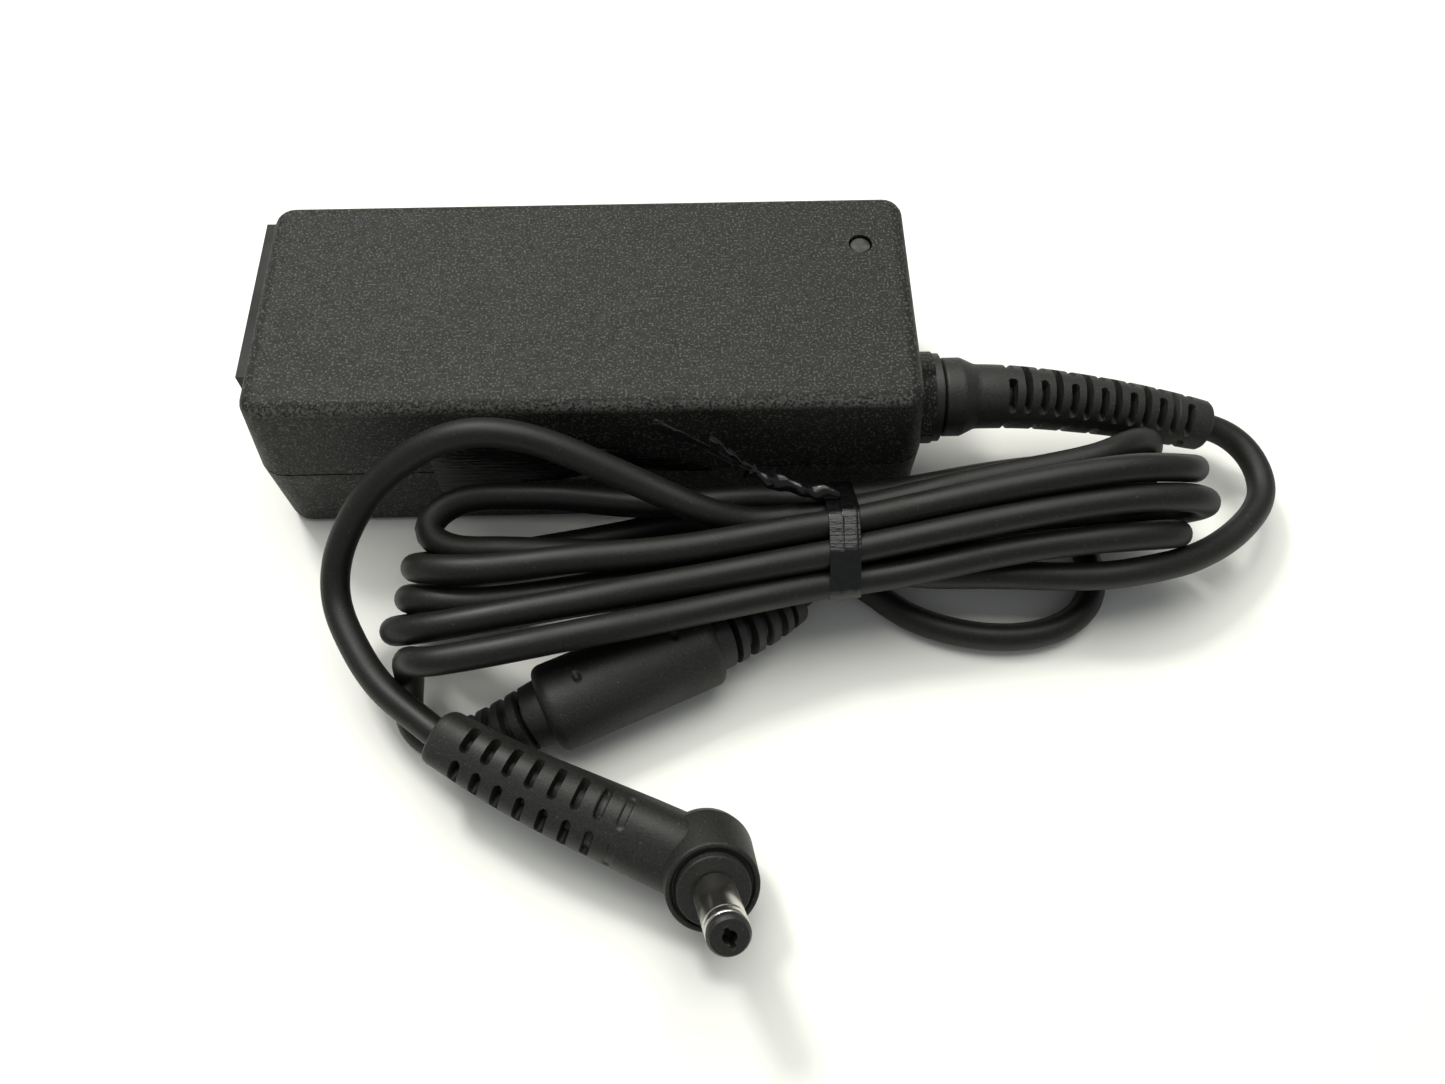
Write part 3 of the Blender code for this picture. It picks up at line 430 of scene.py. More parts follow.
def spline(points, spacing):
    """A natural cubic spline through the points, cut at equal steps of arc. Its knots lie the distance to the
    power 0.75 apart, which keeps it from swinging wide at a tight fold."""
    route = np.array(points, float)
    gap = np.linalg.norm(np.diff(route, axis=0), axis=1) ** 0.75
    knots = np.concatenate([[0], np.cumsum(gap)])
    count = len(knots)
    inner = np.arange(1, count - 1)
    matrix = np.eye(count)
    matrix[inner, inner - 1] = gap[:-1]
    matrix[inner, inner] = 2 * (gap[:-1] + gap[1:])
    matrix[inner, inner + 1] = gap[1:]
    slope = np.diff(route, axis=0) / gap[:, None]
    bend = np.zeros((count, 3))
    bend[1:-1] = 6 * np.diff(slope, axis=0)
    bend = np.linalg.solve(matrix, bend)
    fine = np.linspace(0, knots[-1], 60 * count)
    span = np.clip(np.searchsorted(knots, fine, side="right") - 1, 0, count - 2)
    width = gap[span][:, None]
    before = (knots[span + 1] - fine)[:, None] / width
    after = 1 - before
    curve = before * route[span] + after * route[span + 1]
    curve += width**2 / 6 * ((before**3 - before) * bend[span] + (after**3 - after) * bend[span + 1])
    run = np.concatenate([[0], np.cumsum(np.linalg.norm(np.diff(curve, axis=0), axis=1))])
    cuts = np.linspace(0, run[-1], round(run[-1] / spacing) + 1)
    return np.stack([np.interp(cuts, run, curve[:, k]) for k in range(3)], axis=1)


def length_of(line):
    """The sum of the distances between its points."""
    return np.linalg.norm(np.diff(line, axis=0), axis=1).sum()


# %% [markdown]
# ## The route of the cord
# The cord leaves the boot, swings round to the front and is folded nine times into a hank that
# leans against the case. From the last fold it drops to the table, goes through the ferrite
# sleeve, passes under the hank, climbs round its right end and comes back over the top to the
# plug. A hank is easiest to think about in its own leaning plane, so its points are given as
# (x, across the strands, through the strands) and turned by 60 degrees.

# %% Lay down the points of the route, in mm
CORD_DIAMETER = 4.1
CORD_RADIUS = CORD_DIAMETER / 2
LEAN = math.radians(60)


def lean(points):
    """(x, across, through) turned about x: y = across sin 60 - through cos 60, and
    z = across cos 60 + through sin 60."""
    x, across, through = np.array(points, float).T
    y = across * math.sin(LEAN) - through * math.cos(LEAN)
    z = across * math.cos(LEAN) + through * math.sin(LEAN)
    return [tuple(point) for point in np.stack((x, y, z), axis=1)]


BOOT_ROUTE = [
    (43.7, -8.7, 14.4), (52, -8.7, 14.4), (62, -8.6, 14.1), (73, -8.9, 12.6), (84, -9.7, 10.6),
    (93.6, -10.8, 8.5),
]
EXIT_ROUTE = [
    (96.6, -11.6, 7.9), (99.3, -13.6, 7.3), (101, -17, 6.9), (101, -21.5, 6.8), (97, -27.4, 7.8),
    (88.1, -33.7, 9.8), (80, -36.6, 11.2), (72.2, -37.7, 11.2), (58.5, -37, 10.3), (49, -36.7, 10),
]
HANK_ROUTE = lean([
    (35.8, -26.1, 27), (20, -28, 25.6), (5, -29.8, 24), (-8, -31.4, 22.6), (-16, -32.4, 22.2),
    (-24, -32.8, 24.3), (-26.9, -32.9, 29.6), (-24.6, -32.5, 35),
    (-17.5, -31.4, 37.2), (-10.4, -30.2, 37.2), (-0.6, -28.7, 36.4), (7.5, -27.4, 35.4), (16.8, -26, 34.2),
    (31.6, -23.6, 32.5), (35.8, -22.9, 32.3), (55.5, -19.1, 32.6), (71, -16.7, 32.4), (80, -16, 31.6),
    (85.8, -16.3, 29.8), (88.8, -17.2, 25.6), (86, -18.2, 21),
    (80, -18.9, 19.2), (71, -19.6, 18.9), (56, -20.8, 19.3), (35.8, -22, 19.9), (20, -23.9, 19.3),
    (5, -26, 18.8),
    (-8, -27.8, 19.2), (-15, -28.5, 19.7),
    (-22.6, -28.7, 21.6), (-25.6, -28.6, 26.8), (-23.4, -28.6, 32),
    (-16.5, -28.9, 34), (-9, -28.5, 33.8), (-1, -27.6, 32.8), (16, -25.2, 30.4), (35.8, -21.9, 28),
    (52, -18, 28.2),
    (66, -15.6, 27.8), (73.5, -14.8, 27),
    (78.6, -14.4, 25.2), (81.2, -14.6, 21.4), (78.6, -14.8, 17.8),
    (73, -15.1, 16.4), (62, -16.4, 17.6), (50, -18.3, 21), (35.8, -20.1, 23.6), (22, -18.6, 22.3),
    (11.7, -18.5, 21.3),
    (7.1, -19.4, 20.9), (-7.2, -21.6, 20.4), (-13, -22.4, 20.3),
    (-20.6, -23.2, 22.2), (-24.2, -23.6, 28), (-21.6, -23.7, 33.8),
    (-14.1, -23.8, 36), (-3.2, -23, 35.8), (7.5, -22.4, 34.8), (16.9, -21.5, 33.6), (30.6, -19.6, 31.8),
    (35.8, -19, 31.2), (55.6, -15.2, 31.8), (71.1, -12.6, 32), (78, -12, 31.2),
    (84.6, -12, 28.8), (87.4, -11.8, 24.4), (84.6, -11.2, 19.8),
    (79, -10.8, 18.2), (70, -11.2, 18.4), (57.9, -12.6, 20), (45.2, -14.9, 22.4), (35.8, -15.9, 23.4),
    (22, -15.9, 23.8), (8.6, -16.3, 24.2), (-4.2, -15, 24.4), (-11, -14.7, 24.4),
    (-17, -14.9, 24.4), (-21.4, -16.6, 24.6), (-23.2, -19.4, 25.4), (-20.8, -21.6, 26.4),
    (-14, -22.4, 27.2), (-6, -22.8, 27.2), (8, -23.4, 26), (22, -23.9, 24.6), (35.8, -24.2, 23.6),
    (50, -23.6, 22),
    (64, -22.4, 20.6), (73, -21.9, 20),
    (79.6, -21.6, 19.9), (84, -21.4, 22.3), (84.2, -21.2, 26),
    (79, -21.2, 29.2), (68.3, -21.9, 30.2), (56.4, -23.4, 30.4), (44.4, -25.6, 30.8), (35.8, -26.7, 31.1),
    (31.4, -27.2, 31.8), (16.7, -29.7, 35.2), (7.5, -31.3, 37.4), (-0.5, -32.6, 38.8), (-10.2, -34.3, 40.2),
    (-17, -35.4, 40.6), (-21.8, -36, 39.4), (-24.2, -36.4, 36.2),
])
FERRITE_ENDS = np.array([(-5.9, -54.4, 6.4), (16.9, -44.4, 6.4)])
FERRITE_IN = [(-24.9, -49.9, 9), (-25.7, -51.4, 4.8), (-25.3, -54.4, 2.6), (-22.6, -57, 2.3),
              (-17.6, -57.8, 3.1),
              (-11.6, -56.4, 4.9)]
FERRITE_SHARES = (0, 0.15, 0.5, 0.85, 1)
FERRITE_WAY = FERRITE_ENDS[1] - FERRITE_ENDS[0]
FERRITE_RUN = [tuple(FERRITE_ENDS[0] + share * FERRITE_WAY) for share in FERRITE_SHARES]
FERRITE_OUT = [(23.3, -41.3, 5.4), (29.2, -37.2, 4.2)]
LOW_ROUTE = [
    (33, -34.2, 3.5), (35.8, -33.5, 3.1), (38.6, -34, 2.9), (41.6, -36, 2.6), (45.4, -39, 2.3),
    (51.8, -42, 2.3),
    (61.5, -43.4, 2.3), (70.2, -40.9, 2.3), (73.9, -35.6, 2.3), (73.9, -29, 2.3), (75.8, -23, 3.2),
    (80.4, -18.8, 6.2), (83.3, -17.4, 10.2), (80.6, -18.7, 14.2),
]
TOP_ROUTE = lean([(74.2, -10.9, 25.4), (67.2, -12.4, 26), (57, -14, 26.4), (46, -16.2, 27),
                  (35.8, -17.9, 27.2),
                  (29, -18.5, 28.2)])
ARCH_ROUTE = [
    (22.7, -30.9, 16.1), (15.8, -30.4, 19), (9.2, -28.3, 21.4), (2.4, -26.2, 24.2), (-4.4, -24.4, 27),
    (-11.2, -23.5, 28.8), (-17.4, -23.7, 28.4), (-23, -24.9, 26), (-28.4, -27.2, 22.4), (-32.7, -31, 18),
    (-35.1, -35.4, 13.8), (-35, -39.9, 11.2), (-32.6, -45.1, 10.2), (-29.6, -49.7, 10), (-26.1, -53.5, 10),
    (-22.3, -56.7, 10.1), (-19.5, -59, 10.3),
]
PLUG_ROUTE = [(-8.5, -65.3, 9.7), (3.5, -70.9, 8.5), (15.6, -76.4, 7.3)]

CORD_END = (12, -74.8, 7.6)
CORD_ROUTE = [
    *BOOT_ROUTE, *EXIT_ROUTE, *HANK_ROUTE, *FERRITE_IN, *FERRITE_RUN, *FERRITE_OUT, *LOW_ROUTE,
    *TOP_ROUTE, *ARCH_ROUTE, *PLUG_ROUTE[:2], CORD_END,
]
STEP = 2.0
rough_line = spline(CORD_ROUTE, STEP)
print("points:", len(CORD_ROUTE), " length of the drawn route:", round(length_of(rough_line)), "mm")

# %% [markdown]
# ## Let the strands settle
# Points chosen one by one always leave a few strands inside each other. A cloth or rigid-body
# simulation could push them apart, but a few hundred rounds of a simple rule do it in a second:
# strands that are closer than a diameter move apart, mostly through the bundle, nothing goes
# below the table or into the case, the sleeve or the plug, and the moves are smoothed along the
# cord so that it stays a smooth curve.

# %% Settle the cord
STIFFNESS = 3.2
BLUR_REACH = 6
CLEAR = 0.06
WALL = -20.95
ROUNDS = 260
NEIGHBOUR = 10
SLEEVE_REACH, RELIEF_REACH, GRIP_REACH, BOOT_REACH = 6.4, 4.0, 4.6, 4.4
DEEP_PUSH, SIDE_PUSH, ROD_PUSH = 1.15, 0.75, 0.7
PACE, KEPT_SHARE, SMOOTH_SHARE = 0.8, 0.35, 0.65
through_way = np.array([0.0, -math.cos(LEAN), math.sin(LEAN)])


def nearest(line, point):
    """The index of the line's point that is nearest to the given one."""
    return int(np.linalg.norm(line - np.array(point), axis=1).argmin())


def away_from_rod(points, start, end, reach):
    """The move that takes each point out of a round rod: away from its axis, by what is missing to reach."""
    start, end = np.array(start, float), np.array(end, float)
    axis = end - start
    share = np.clip((points - start) @ axis / (axis @ axis), 0, 1)
    off = points - start - share[:, None] * axis
    far = np.linalg.norm(off, axis=1)
    return off / np.maximum(far, 1e-6)[:, None] * np.maximum(reach - far, 0)[:, None]


def settle(line):
    """Moves the line's points until neighbours that are 10 mm or more apart along it clear each other."""
    count = len(line)
    place = np.arange(count)
    boot_end, sleeve_start = nearest(line, BOOT_ROUTE[-1]), nearest(line, FERRITE_IN[-2])
    sleeve_end, plug_start = nearest(line, LOW_ROUTE[0]), nearest(line, ARCH_ROUTE[-1])
    held = (place <= boot_end + 1) | ((place >= sleeve_start) & (place <= sleeve_end)) | (place >= plug_start)
    rods = [
        (*FERRITE_ENDS, SLEEVE_REACH + CORD_RADIUS, sleeve_start - 3, sleeve_end + 3),
        (FERRITE_IN[-2], FERRITE_ENDS[0], RELIEF_REACH + CORD_RADIUS, sleeve_start - 12, sleeve_end + 3),
        (FERRITE_ENDS[1], LOW_ROUTE[0], RELIEF_REACH + CORD_RADIUS, sleeve_start - 3, sleeve_end + 10),
        (ARCH_ROUTE[-1], PLUG_ROUTE[-1], GRIP_REACH + CORD_RADIUS, plug_start - 8, count),
        (BOOT_ROUTE[2], BOOT_ROUTE[-1], BOOT_REACH + CORD_RADIUS, 0, boot_end + 10),
    ]
    blur = np.exp(-0.5 * (np.arange(-BLUR_REACH, BLUR_REACH + 1) * STEP / STIFFNESS) ** 2)
    blur /= blur.sum()
    first, second = np.triu_indices(count, int(NEIGHBOUR / STEP))
    move = np.zeros_like(line)
    for turn in range(ROUNDS):
        now = line + move
        if turn % 20 == 0:
            near = np.linalg.norm(now[first] - now[second], axis=1) < CORD_DIAMETER + 3
            one, other = first[near], second[near]
        apart = now[one] - now[other]
        far = np.linalg.norm(apart, axis=1)
        lack = np.maximum(CORD_DIAMETER + CLEAR - far, 0)
        push, hits = np.zeros_like(line), np.zeros(count)
        step = apart / np.maximum(far, 1e-6)[:, None] * (lack / 2)[:, None]
        np.add.at(push, one, step)
        np.add.at(push, other, -step)
        np.add.at(hits, one[lack > 0], 1)
        np.add.at(hits, other[lack > 0], 1)
        push /= np.maximum(hits, 1)[:, None] ** 0.5
        deep = (push @ through_way)[:, None] * through_way
        push = DEEP_PUSH * deep + SIDE_PUSH * (push - deep)
        for start, end, reach, skip_from, skip_to in rods:
            free = (place < skip_from) | (place >= skip_to)
            push += ROD_PUSH * away_from_rod(now, start, end, reach) * free[:, None]
        push[:, 2] += np.maximum(CORD_RADIUS + 0.03 - now[:, 2], 0)
        beside_case = (now[:, 0] < 50) & (now[:, 2] < 30) & (place > boot_end + 20)
        push[:, 1] -= np.maximum(now[:, 1] - (WALL - CORD_RADIUS), 0) * beside_case
        move = (move + PACE * push) * ~held[:, None]
        padded = np.pad(move, ((BLUR_REACH, BLUR_REACH), (0, 0)), mode="edge")
        smooth = np.stack([np.convolve(padded[:, k], blur, "valid") for k in range(3)], axis=1)
        move = (KEPT_SHARE * move + SMOOTH_SHARE * smooth) * ~held[:, None]
    return line + move


settled = settle(rough_line)
CORD_EXIT = (50.6, -8.7, 14.4)
RING_SPACING = 0.9
cord_line = spline(settled[nearest(settled, CORD_EXIT):], RING_SPACING)
far_pairs = np.triu_indices(len(settled), int(NEIGHBOUR / STEP))
closest = np.linalg.norm(settled[far_pairs[0]] - settled[far_pairs[1]], axis=1).min()
lowest = settled[:, 2].min()
print(f"cord: {length_of(cord_line):.0f} mm long, strands {closest:.2f} mm apart, lowest {lowest:.2f}")

# %% [markdown]
# ## The cord
# Soft black PVC drawn over two copper conductors: round, matt, and just uneven enough that its
# highlights waver. It is a profile, a circle, carried along the settled line. The radius swells
# and shrinks by a hundredth of a millimetre or two with sums of slow sines.

# %% Make the cord
CORD_WAVES = ((0.009, 5.3), (0.006, 2.9), (0.005, 13.0))
WAVES_TOGETHER = 0.02
CORD_SIDES = 20


def cord_radius(line):
    """The cord's radius plus three slow waves along it, less what they could add up to."""
    run = np.arange(len(line)) * length_of(line) / (len(line) - 1)
    waves = sum(height * np.sin(run / wave + wave) for height, wave in CORD_WAVES)
    return CORD_RADIUS - WAVES_TOGETHER + waves


cord = piece("cord", [shell(tube_grid(cord_line, cord_radius(cord_line), CORD_SIDES))], "cord_pvc")
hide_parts("cord_exit_lead", "cord_hank", "cord_ferrite_lead", "cord_plug_lead")

# %% [markdown]
# ## The boot
# A strain relief keeps the cord from kinking where it leaves the case. This one is a long taper
# of rubber with slots cut round it, so that it bends more easily towards its end. Seven rings of
# four short slots alternate with six rings of two long ones. A real slot has rounded ends, so its
# outline is a stadium: the distance to a stadium, turned into a smooth step, says how much of the
# radius is cut away at each point of the grid.

# %% Shape the boot
BOOT_PROFILE = [(0, 6.6), (8.0, 6.6), (8.05, 6.3), (8.25, 5.2), (8.45, 5.2), (8.6, 5.75), (8.9, 5.9),
                (11.3, 5.9),
                (11.7, 5.75), (13.4, 4.95), (13.9, 4.85), (17.0, 4.8), (46.6, 4.0), (48.4, 3.95),
                (48.5, 3.95),
                (50.1, 3.85), (50.5, 3.6), (50.6, 3.3)]
SHORT_RINGS = np.array([18.4, 23.1, 27.8, 32.5, 37.2, 41.9, 46.6])
LONG_RINGS = (SHORT_RINGS[:-1] + SHORT_RINGS[1:]) / 2 - 0.1
SHORT_PLACES, SHORT_REACH = (-56, 34, 124, 214), math.radians(34)
LONG_PLACES, LONG_REACH = (-78, 102), math.radians(58)
SLOT_HALF_WIDTH, LONG_HALF_WIDTH = 0.5, 0.42
SLOT_DEPTH = 1.9
SLOT_RADIUS = 4.3
BOOT_CORE = 2.15
BOOT_FINE = (17.2, 48.0)
FINE_ROW, COARSE_ROW = 0.14, 0.5
BOOT_COLUMNS = 168


def stadium(along, across, half_width, half_length, edge=0.16):
    """1 inside a slot with round ends, 0 outside: the distance to its middle segment, less its half width."""
    beyond = np.maximum(np.abs(across) - (half_length - half_width), 0)
    return np.clip(0.5 - (np.hypot(along, beyond) - half_width) / edge, 0, 1)


def turn_from(angle, middle):
    """The angle from middle, between -pi and pi."""
    return (angle - middle + np.pi) % (2 * np.pi) - np.pi


def rows_between(profile, fine_from, fine_to, fine, coarse):
    """Places along a piece: each profile point, steps of fine mm inside the stretch and of coarse outside."""
    stretch = np.arange(fine_from, fine_to, fine)
    rest = np.arange(profile[0][0], profile[-1][0], coarse)
    rest = rest[(rest < fine_from) | (rest > fine_to)]
    return np.unique(np.round(np.concatenate([stretch, rest, [place for place, _ in profile]]), 4))


def sample(line, run):
    """Points of an evenly cut line at the given distances along it."""
    whole = np.linspace(0, length_of(line), len(line))
    return np.stack([np.interp(run, whole, line[:, k]) for k in range(3)], axis=1)


boot_line = spline(BOOT_ROUTE, 0.1)
boot_run = rows_between(BOOT_PROFILE, *BOOT_FINE, FINE_ROW, COARSE_ROW)
boot_run = boot_run[boot_run <= length_of(boot_line)]
boot_angle = np.linspace(0, 2 * np.pi, BOOT_COLUMNS, endpoint=False)[None, :]
boot_radius = np.interp(boot_run, *zip(*BOOT_PROFILE))[:, None] + 0 * boot_angle
cut = np.zeros_like(boot_radius)
for rings, places, reach, half_width in (
    (SHORT_RINGS, SHORT_PLACES, SHORT_REACH, SLOT_HALF_WIDTH),
    (LONG_RINGS, LONG_PLACES, LONG_REACH, LONG_HALF_WIDTH),
):
    for ring in rings:
        for degrees in places:
            away = turn_from(boot_angle, math.radians(degrees)) * boot_radius
            slot = stadium(boot_run[:, None] - ring, away, half_width, reach * SLOT_RADIUS)
            cut = np.maximum(cut, slot)
boot_radius = boot_radius - cut * np.minimum(SLOT_DEPTH, boot_radius - BOOT_CORE)
boot_grid = tube_grid(sample(boot_line, boot_run), boot_radius, boot_angle.size, start=(0, -1, 0))
boot = piece("boot", [shell(boot_grid)], "overmould", sharp=50)
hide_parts("strain_relief")

# %% [markdown]
# ## The ferrite sleeve
# A ferrite ring on the cord soaks up radio noise, and a moulded sleeve holds it. The sleeve is a
# plain fat cylinder with rounded shoulders and a ribbed relief at each end. Its radius along the
# cord is one profile: the ribs are a product of a taper and a square wave with soft flanks.

# %% Shape the ferrite sleeve
sleeve_line = spline([*FERRITE_IN[-2:], *FERRITE_RUN, *FERRITE_OUT], 0.1)
sleeve_length = length_of(sleeve_line)
barrel_from = nearest(sleeve_line, FERRITE_ENDS[0]) * 0.1
barrel_to = nearest(sleeve_line, FERRITE_ENDS[1]) * 0.1
SLEEVE_ROW = 0.11
SLEEVE_COLUMNS = 96
SLEEVE_RADIUS, SHOULDER, END_ROUND = 6.3, 1.3, 0.5
RIB_RADII, GAP_RADII = (4.7, 3.4), (2.8, 2.5)
RIB_PITCH, RIB_SHARE, RIB_FLANK = 2.5, 0.58, 0.25
COLLAR, FIRST_GAP = 2.2, 2.3
PARTING_PLACE, PARTING_WIDTH, PARTING_HEIGHT = math.radians(200), 0.12, 0.05
PARTING_INSET, PARTING_FADE = 1.5, 0.4
DIMPLE_INSET, DIMPLE_RADIUS, DIMPLE_DEPTH = 5.2, 0.55, 0.45
sleeve_run = np.arange(0, sleeve_length, SLEEVE_ROW)


def soft_step(value, middle, width):
    """0 below the middle and 1 above it, with a ramp of the given width."""
    return np.clip((value - middle) / width + 0.5, 0, 1)


def rib_wave(distance, pitch, share, width):
    """1 on a rib and 0 in a gap: a rib fills the share of each pitch, and its flanks are width mm wide."""
    phase = distance % pitch
    rise = soft_step(phase, (1 - share) * pitch / 2, width)
    return rise * soft_step(-phase, -(1 + share) * pitch / 2, width)


def relief_radius(distance, reach):
    """Radius of a ribbed relief at a distance from the barrel's end: ribs and gaps each have their own taper,
    and the wave chooses between them. A collar at each end has no gaps."""
    taper = np.interp(distance, [0, reach], RIB_RADII)
    gap = np.interp(distance, [0, reach], GAP_RADII)
    rib = rib_wave(distance - FIRST_GAP, RIB_PITCH, RIB_SHARE, RIB_FLANK)
    rib = np.where((distance < COLLAR) | (distance > reach - COLLAR), 1.0, rib)
    return gap + (taper - gap) * rib


def sleeve_radius(run):
    """The barrel's shoulders are quarter circles, and a relief follows on each side."""
    inside = np.minimum(run - barrel_from, barrel_to - run)
    shoulder = np.clip(inside / SHOULDER, 0, 1)
    barrel = SLEEVE_RADIUS - SHOULDER + SHOULDER * np.sqrt(1 - (1 - shoulder) ** 2)
    before = relief_radius(barrel_from - run, barrel_from)
    after = relief_radius(run - barrel_to, sleeve_length - barrel_to)
    radius = np.where(inside > 0, barrel, np.where(run < barrel_from, before, after))
    ends = np.minimum(run, sleeve_length - run)
    rounding = 1 - np.clip(ends / END_ROUND, 0, 1)
    return radius - END_ROUND * (1 - np.sqrt(1 - rounding**2))


sleeve_angle = np.linspace(0, 2 * np.pi, SLEEVE_COLUMNS, endpoint=False)[None, :]
sleeve_wide = sleeve_radius(sleeve_run)[:, None] + 0 * sleeve_angle
after_start = soft_step(sleeve_run, barrel_from + PARTING_INSET, PARTING_FADE)
before_end = soft_step(-sleeve_run, -(barrel_to - PARTING_INSET), PARTING_FADE)
on_barrel = (after_start * before_end)[:, None]
from_parting = turn_from(sleeve_angle, PARTING_PLACE) * SLEEVE_RADIUS
sleeve_wide += PARTING_HEIGHT * np.exp(-((from_parting / PARTING_WIDTH) ** 2)) * on_barrel
for inset in (barrel_from + DIMPLE_INSET, barrel_to - DIMPLE_INSET):
    away = np.hypot(sleeve_run[:, None] - inset, turn_from(sleeve_angle, 0.0) * SLEEVE_RADIUS)
    sleeve_wide -= DIMPLE_DEPTH * np.exp(-((away / DIMPLE_RADIUS) ** 4))
sleeve_grid = tube_grid(sample(sleeve_line, sleeve_run), sleeve_wide, SLEEVE_COLUMNS, start=(0, 0, 1))
sleeve = piece("ferrite_sleeve", [shell(sleeve_grid)], "overmould", sharp=45)
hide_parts("ferrite_overmould")

# %% [markdown]
# ## The plug
# The plug's grip is a flattened taper with two rows of slots on each face. It runs into a round
# head that carries the barrel. The head is a profile turned about the barrel's axis, and the grip
# is a superellipse carried along its own line, so they are two shells of one piece. Behind its
# rim the head leans back a little, which is a shift that grows with the distance from the rim.

# %% Shape the plug's grip and head
PLUG_RING = np.array([16.5, -80.2, 11.0])
PLUG_AXIS = np.array([0.150, -0.64, 0.75])
PLUG_AXIS /= np.linalg.norm(PLUG_AXIS)
GRIP_PROFILE = [(0, 3.3), (0.35, 3.65), (0.9, 3.8), (4, 3.95), (12, 4.35), (20, 4.7), (30, 5.0),
                (36, 5.1), (39.5, 5.1)]
GRIP_SLOTS = 5.2 + 3.2 * np.arange(8)
GRIP_FADES = (1.0, 1.0, 1.0, 1.0, 1.0, 0.85, 0.45, 0.12)
GRIP_PLACES = ((-37, 2.0), (143, 2.0), (33, 1.7), (213, 1.7))
GRIP_SLOT_HALF_WIDTH, GRIP_SLOT_DEPTH, GRIP_SLOT_RADIUS = 0.52, 2.0, 4.4
GRIP_FINE = (3.8, 30.0)
GRIP_COARSE_ROW = 0.4
GRIP_COLUMNS = 168
GRIP_SIDE = np.array([-0.18, -0.41, 0.89])
SQUARENESS = 2.7


def turned_grid(profile, start, axis, columns):
    """A profile of (radius, height) points turned about an axis through start."""
    radius, height = np.array(profile, float).T
    side = np.cross(axis, (0.0, 0.0, 1.0))
    side /= np.linalg.norm(side)
    up = np.cross(axis, side)
    angle = np.linspace(0, 2 * np.pi, columns, endpoint=False)
    ring = np.cos(angle)[:, None] * side + np.sin(angle)[:, None] * up
    return start + height[:, None, None] * axis + radius[:, None, None] * ring[None]


def rounded(profile, bevel=0.25, steps=4):
    """The profile with each inner corner replaced by a small curve: a blend of the two sides by t squared."""
    points = np.array(profile, float)
    out = [points[:1]]
    for before, corner, after in zip(points[:-2], points[1:-1], points[2:]):
        reach = [min(bevel, 0.45 * np.linalg.norm(end - corner)) for end in (before, after)]
        start = corner + (before - corner) / np.linalg.norm(before - corner) * reach[0]
        end = corner + (after - corner) / np.linalg.norm(after - corner) * reach[1]
        t = np.linspace(0, 1, steps)[:, None]
        out.append((1 - t) ** 2 * start + 2 * t * (1 - t) * corner + t**2 * end)
    out.append(points[-1:])
    return np.concatenate(out)


grip_line = spline([ARCH_ROUTE[-1], *PLUG_ROUTE], 0.1)
grip_run = rows_between(GRIP_PROFILE, *GRIP_FINE, FINE_ROW, GRIP_COARSE_ROW)
grip_run = grip_run[grip_run <= length_of(grip_line)]
grip_angle = np.linspace(0, 2 * np.pi, GRIP_COLUMNS, endpoint=False)[None, :]
square = np.abs(np.cos(grip_angle)) ** SQUARENESS + np.abs(np.sin(grip_angle)) ** SQUARENESS
square = square ** (-1 / SQUARENESS)
grip_radius = np.interp(grip_run, *zip(*GRIP_PROFILE))[:, None] * square
cut = np.zeros_like(grip_radius)
for place, fade in zip(GRIP_SLOTS, GRIP_FADES):
    for degrees, half in GRIP_PLACES:
        away = turn_from(grip_angle, math.radians(degrees)) * GRIP_SLOT_RADIUS
        slot = stadium(grip_run[:, None] - place, away, GRIP_SLOT_HALF_WIDTH, half)
        cut = np.maximum(cut, fade * slot)
grip_radius = grip_radius - GRIP_SLOT_DEPTH * cut
grip = shell(tube_grid(sample(grip_line, grip_run), grip_radius, GRIP_COLUMNS, start=GRIP_SIDE))

HEAD_PROFILE = [
    (0, -11.2), (1.7, -11.0), (3.4, -10.4), (4.8, -9.3), (5.8, -7.8), (6.25, -6.0), (6.05, 0.0),
    (5.35, 0.0),
    (5.35, -0.7), (4.75, -0.7), (4.75, 0.8), (0, 0.8),
]
HEAD_BEVEL = 0.28
HEAD_COLUMNS = 96
HEAD_LEAN, HEAD_LEAN_OVER = 1.5, 6.0
HEAD_LEAN_WAY = np.array([0.0, 0.866, 0.5])
head_rows = rounded(HEAD_PROFILE, HEAD_BEVEL)[1:-1]
lean_back = HEAD_LEAN * np.clip(-head_rows[:, 1] / HEAD_LEAN_OVER, 0, 1)
head_grid = turned_grid(head_rows, PLUG_RING, PLUG_AXIS, HEAD_COLUMNS)
head_grid += lean_back[:, None, None] * HEAD_LEAN_WAY
head = shell(head_grid)
plug = piece("plug_grip", [grip, head], "overmould", sharp=45)
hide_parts("plug_body")

# %% [markdown]
# The barrel is a thin nickel-plated sleeve with a rolled lip, and the black tip inside it has a
# key-shaped hole. Only the hole is not round: its outline is a circle with two notches, so the
# tip is made of rings that blend from that outline to the round rim.

# %% Turn the barrel and the tip
BARREL_START = PLUG_RING + 1.1 * PLUG_AXIS
BARREL_PROFILE = [
    (1.9, 0), (2.75, 0), (2.75, 7.9), (2.66, 8.05), (2.66, 8.35), (2.75, 8.5), (2.75, 9.1), (2.62, 9.4),
    (1.9, 9.4), (1.9, 0),
]
BARREL_BEVEL = 0.12
BARREL_COLUMNS = 72
barrel_rows = rounded(BARREL_PROFILE, BARREL_BEVEL)
barrel_grid = turned_grid(barrel_rows, BARREL_START, PLUG_AXIS, BARREL_COLUMNS)
barrel = piece("barrel", [shell(barrel_grid, False, False)], "nickel", sharp=40)
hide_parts("plug_barrel")

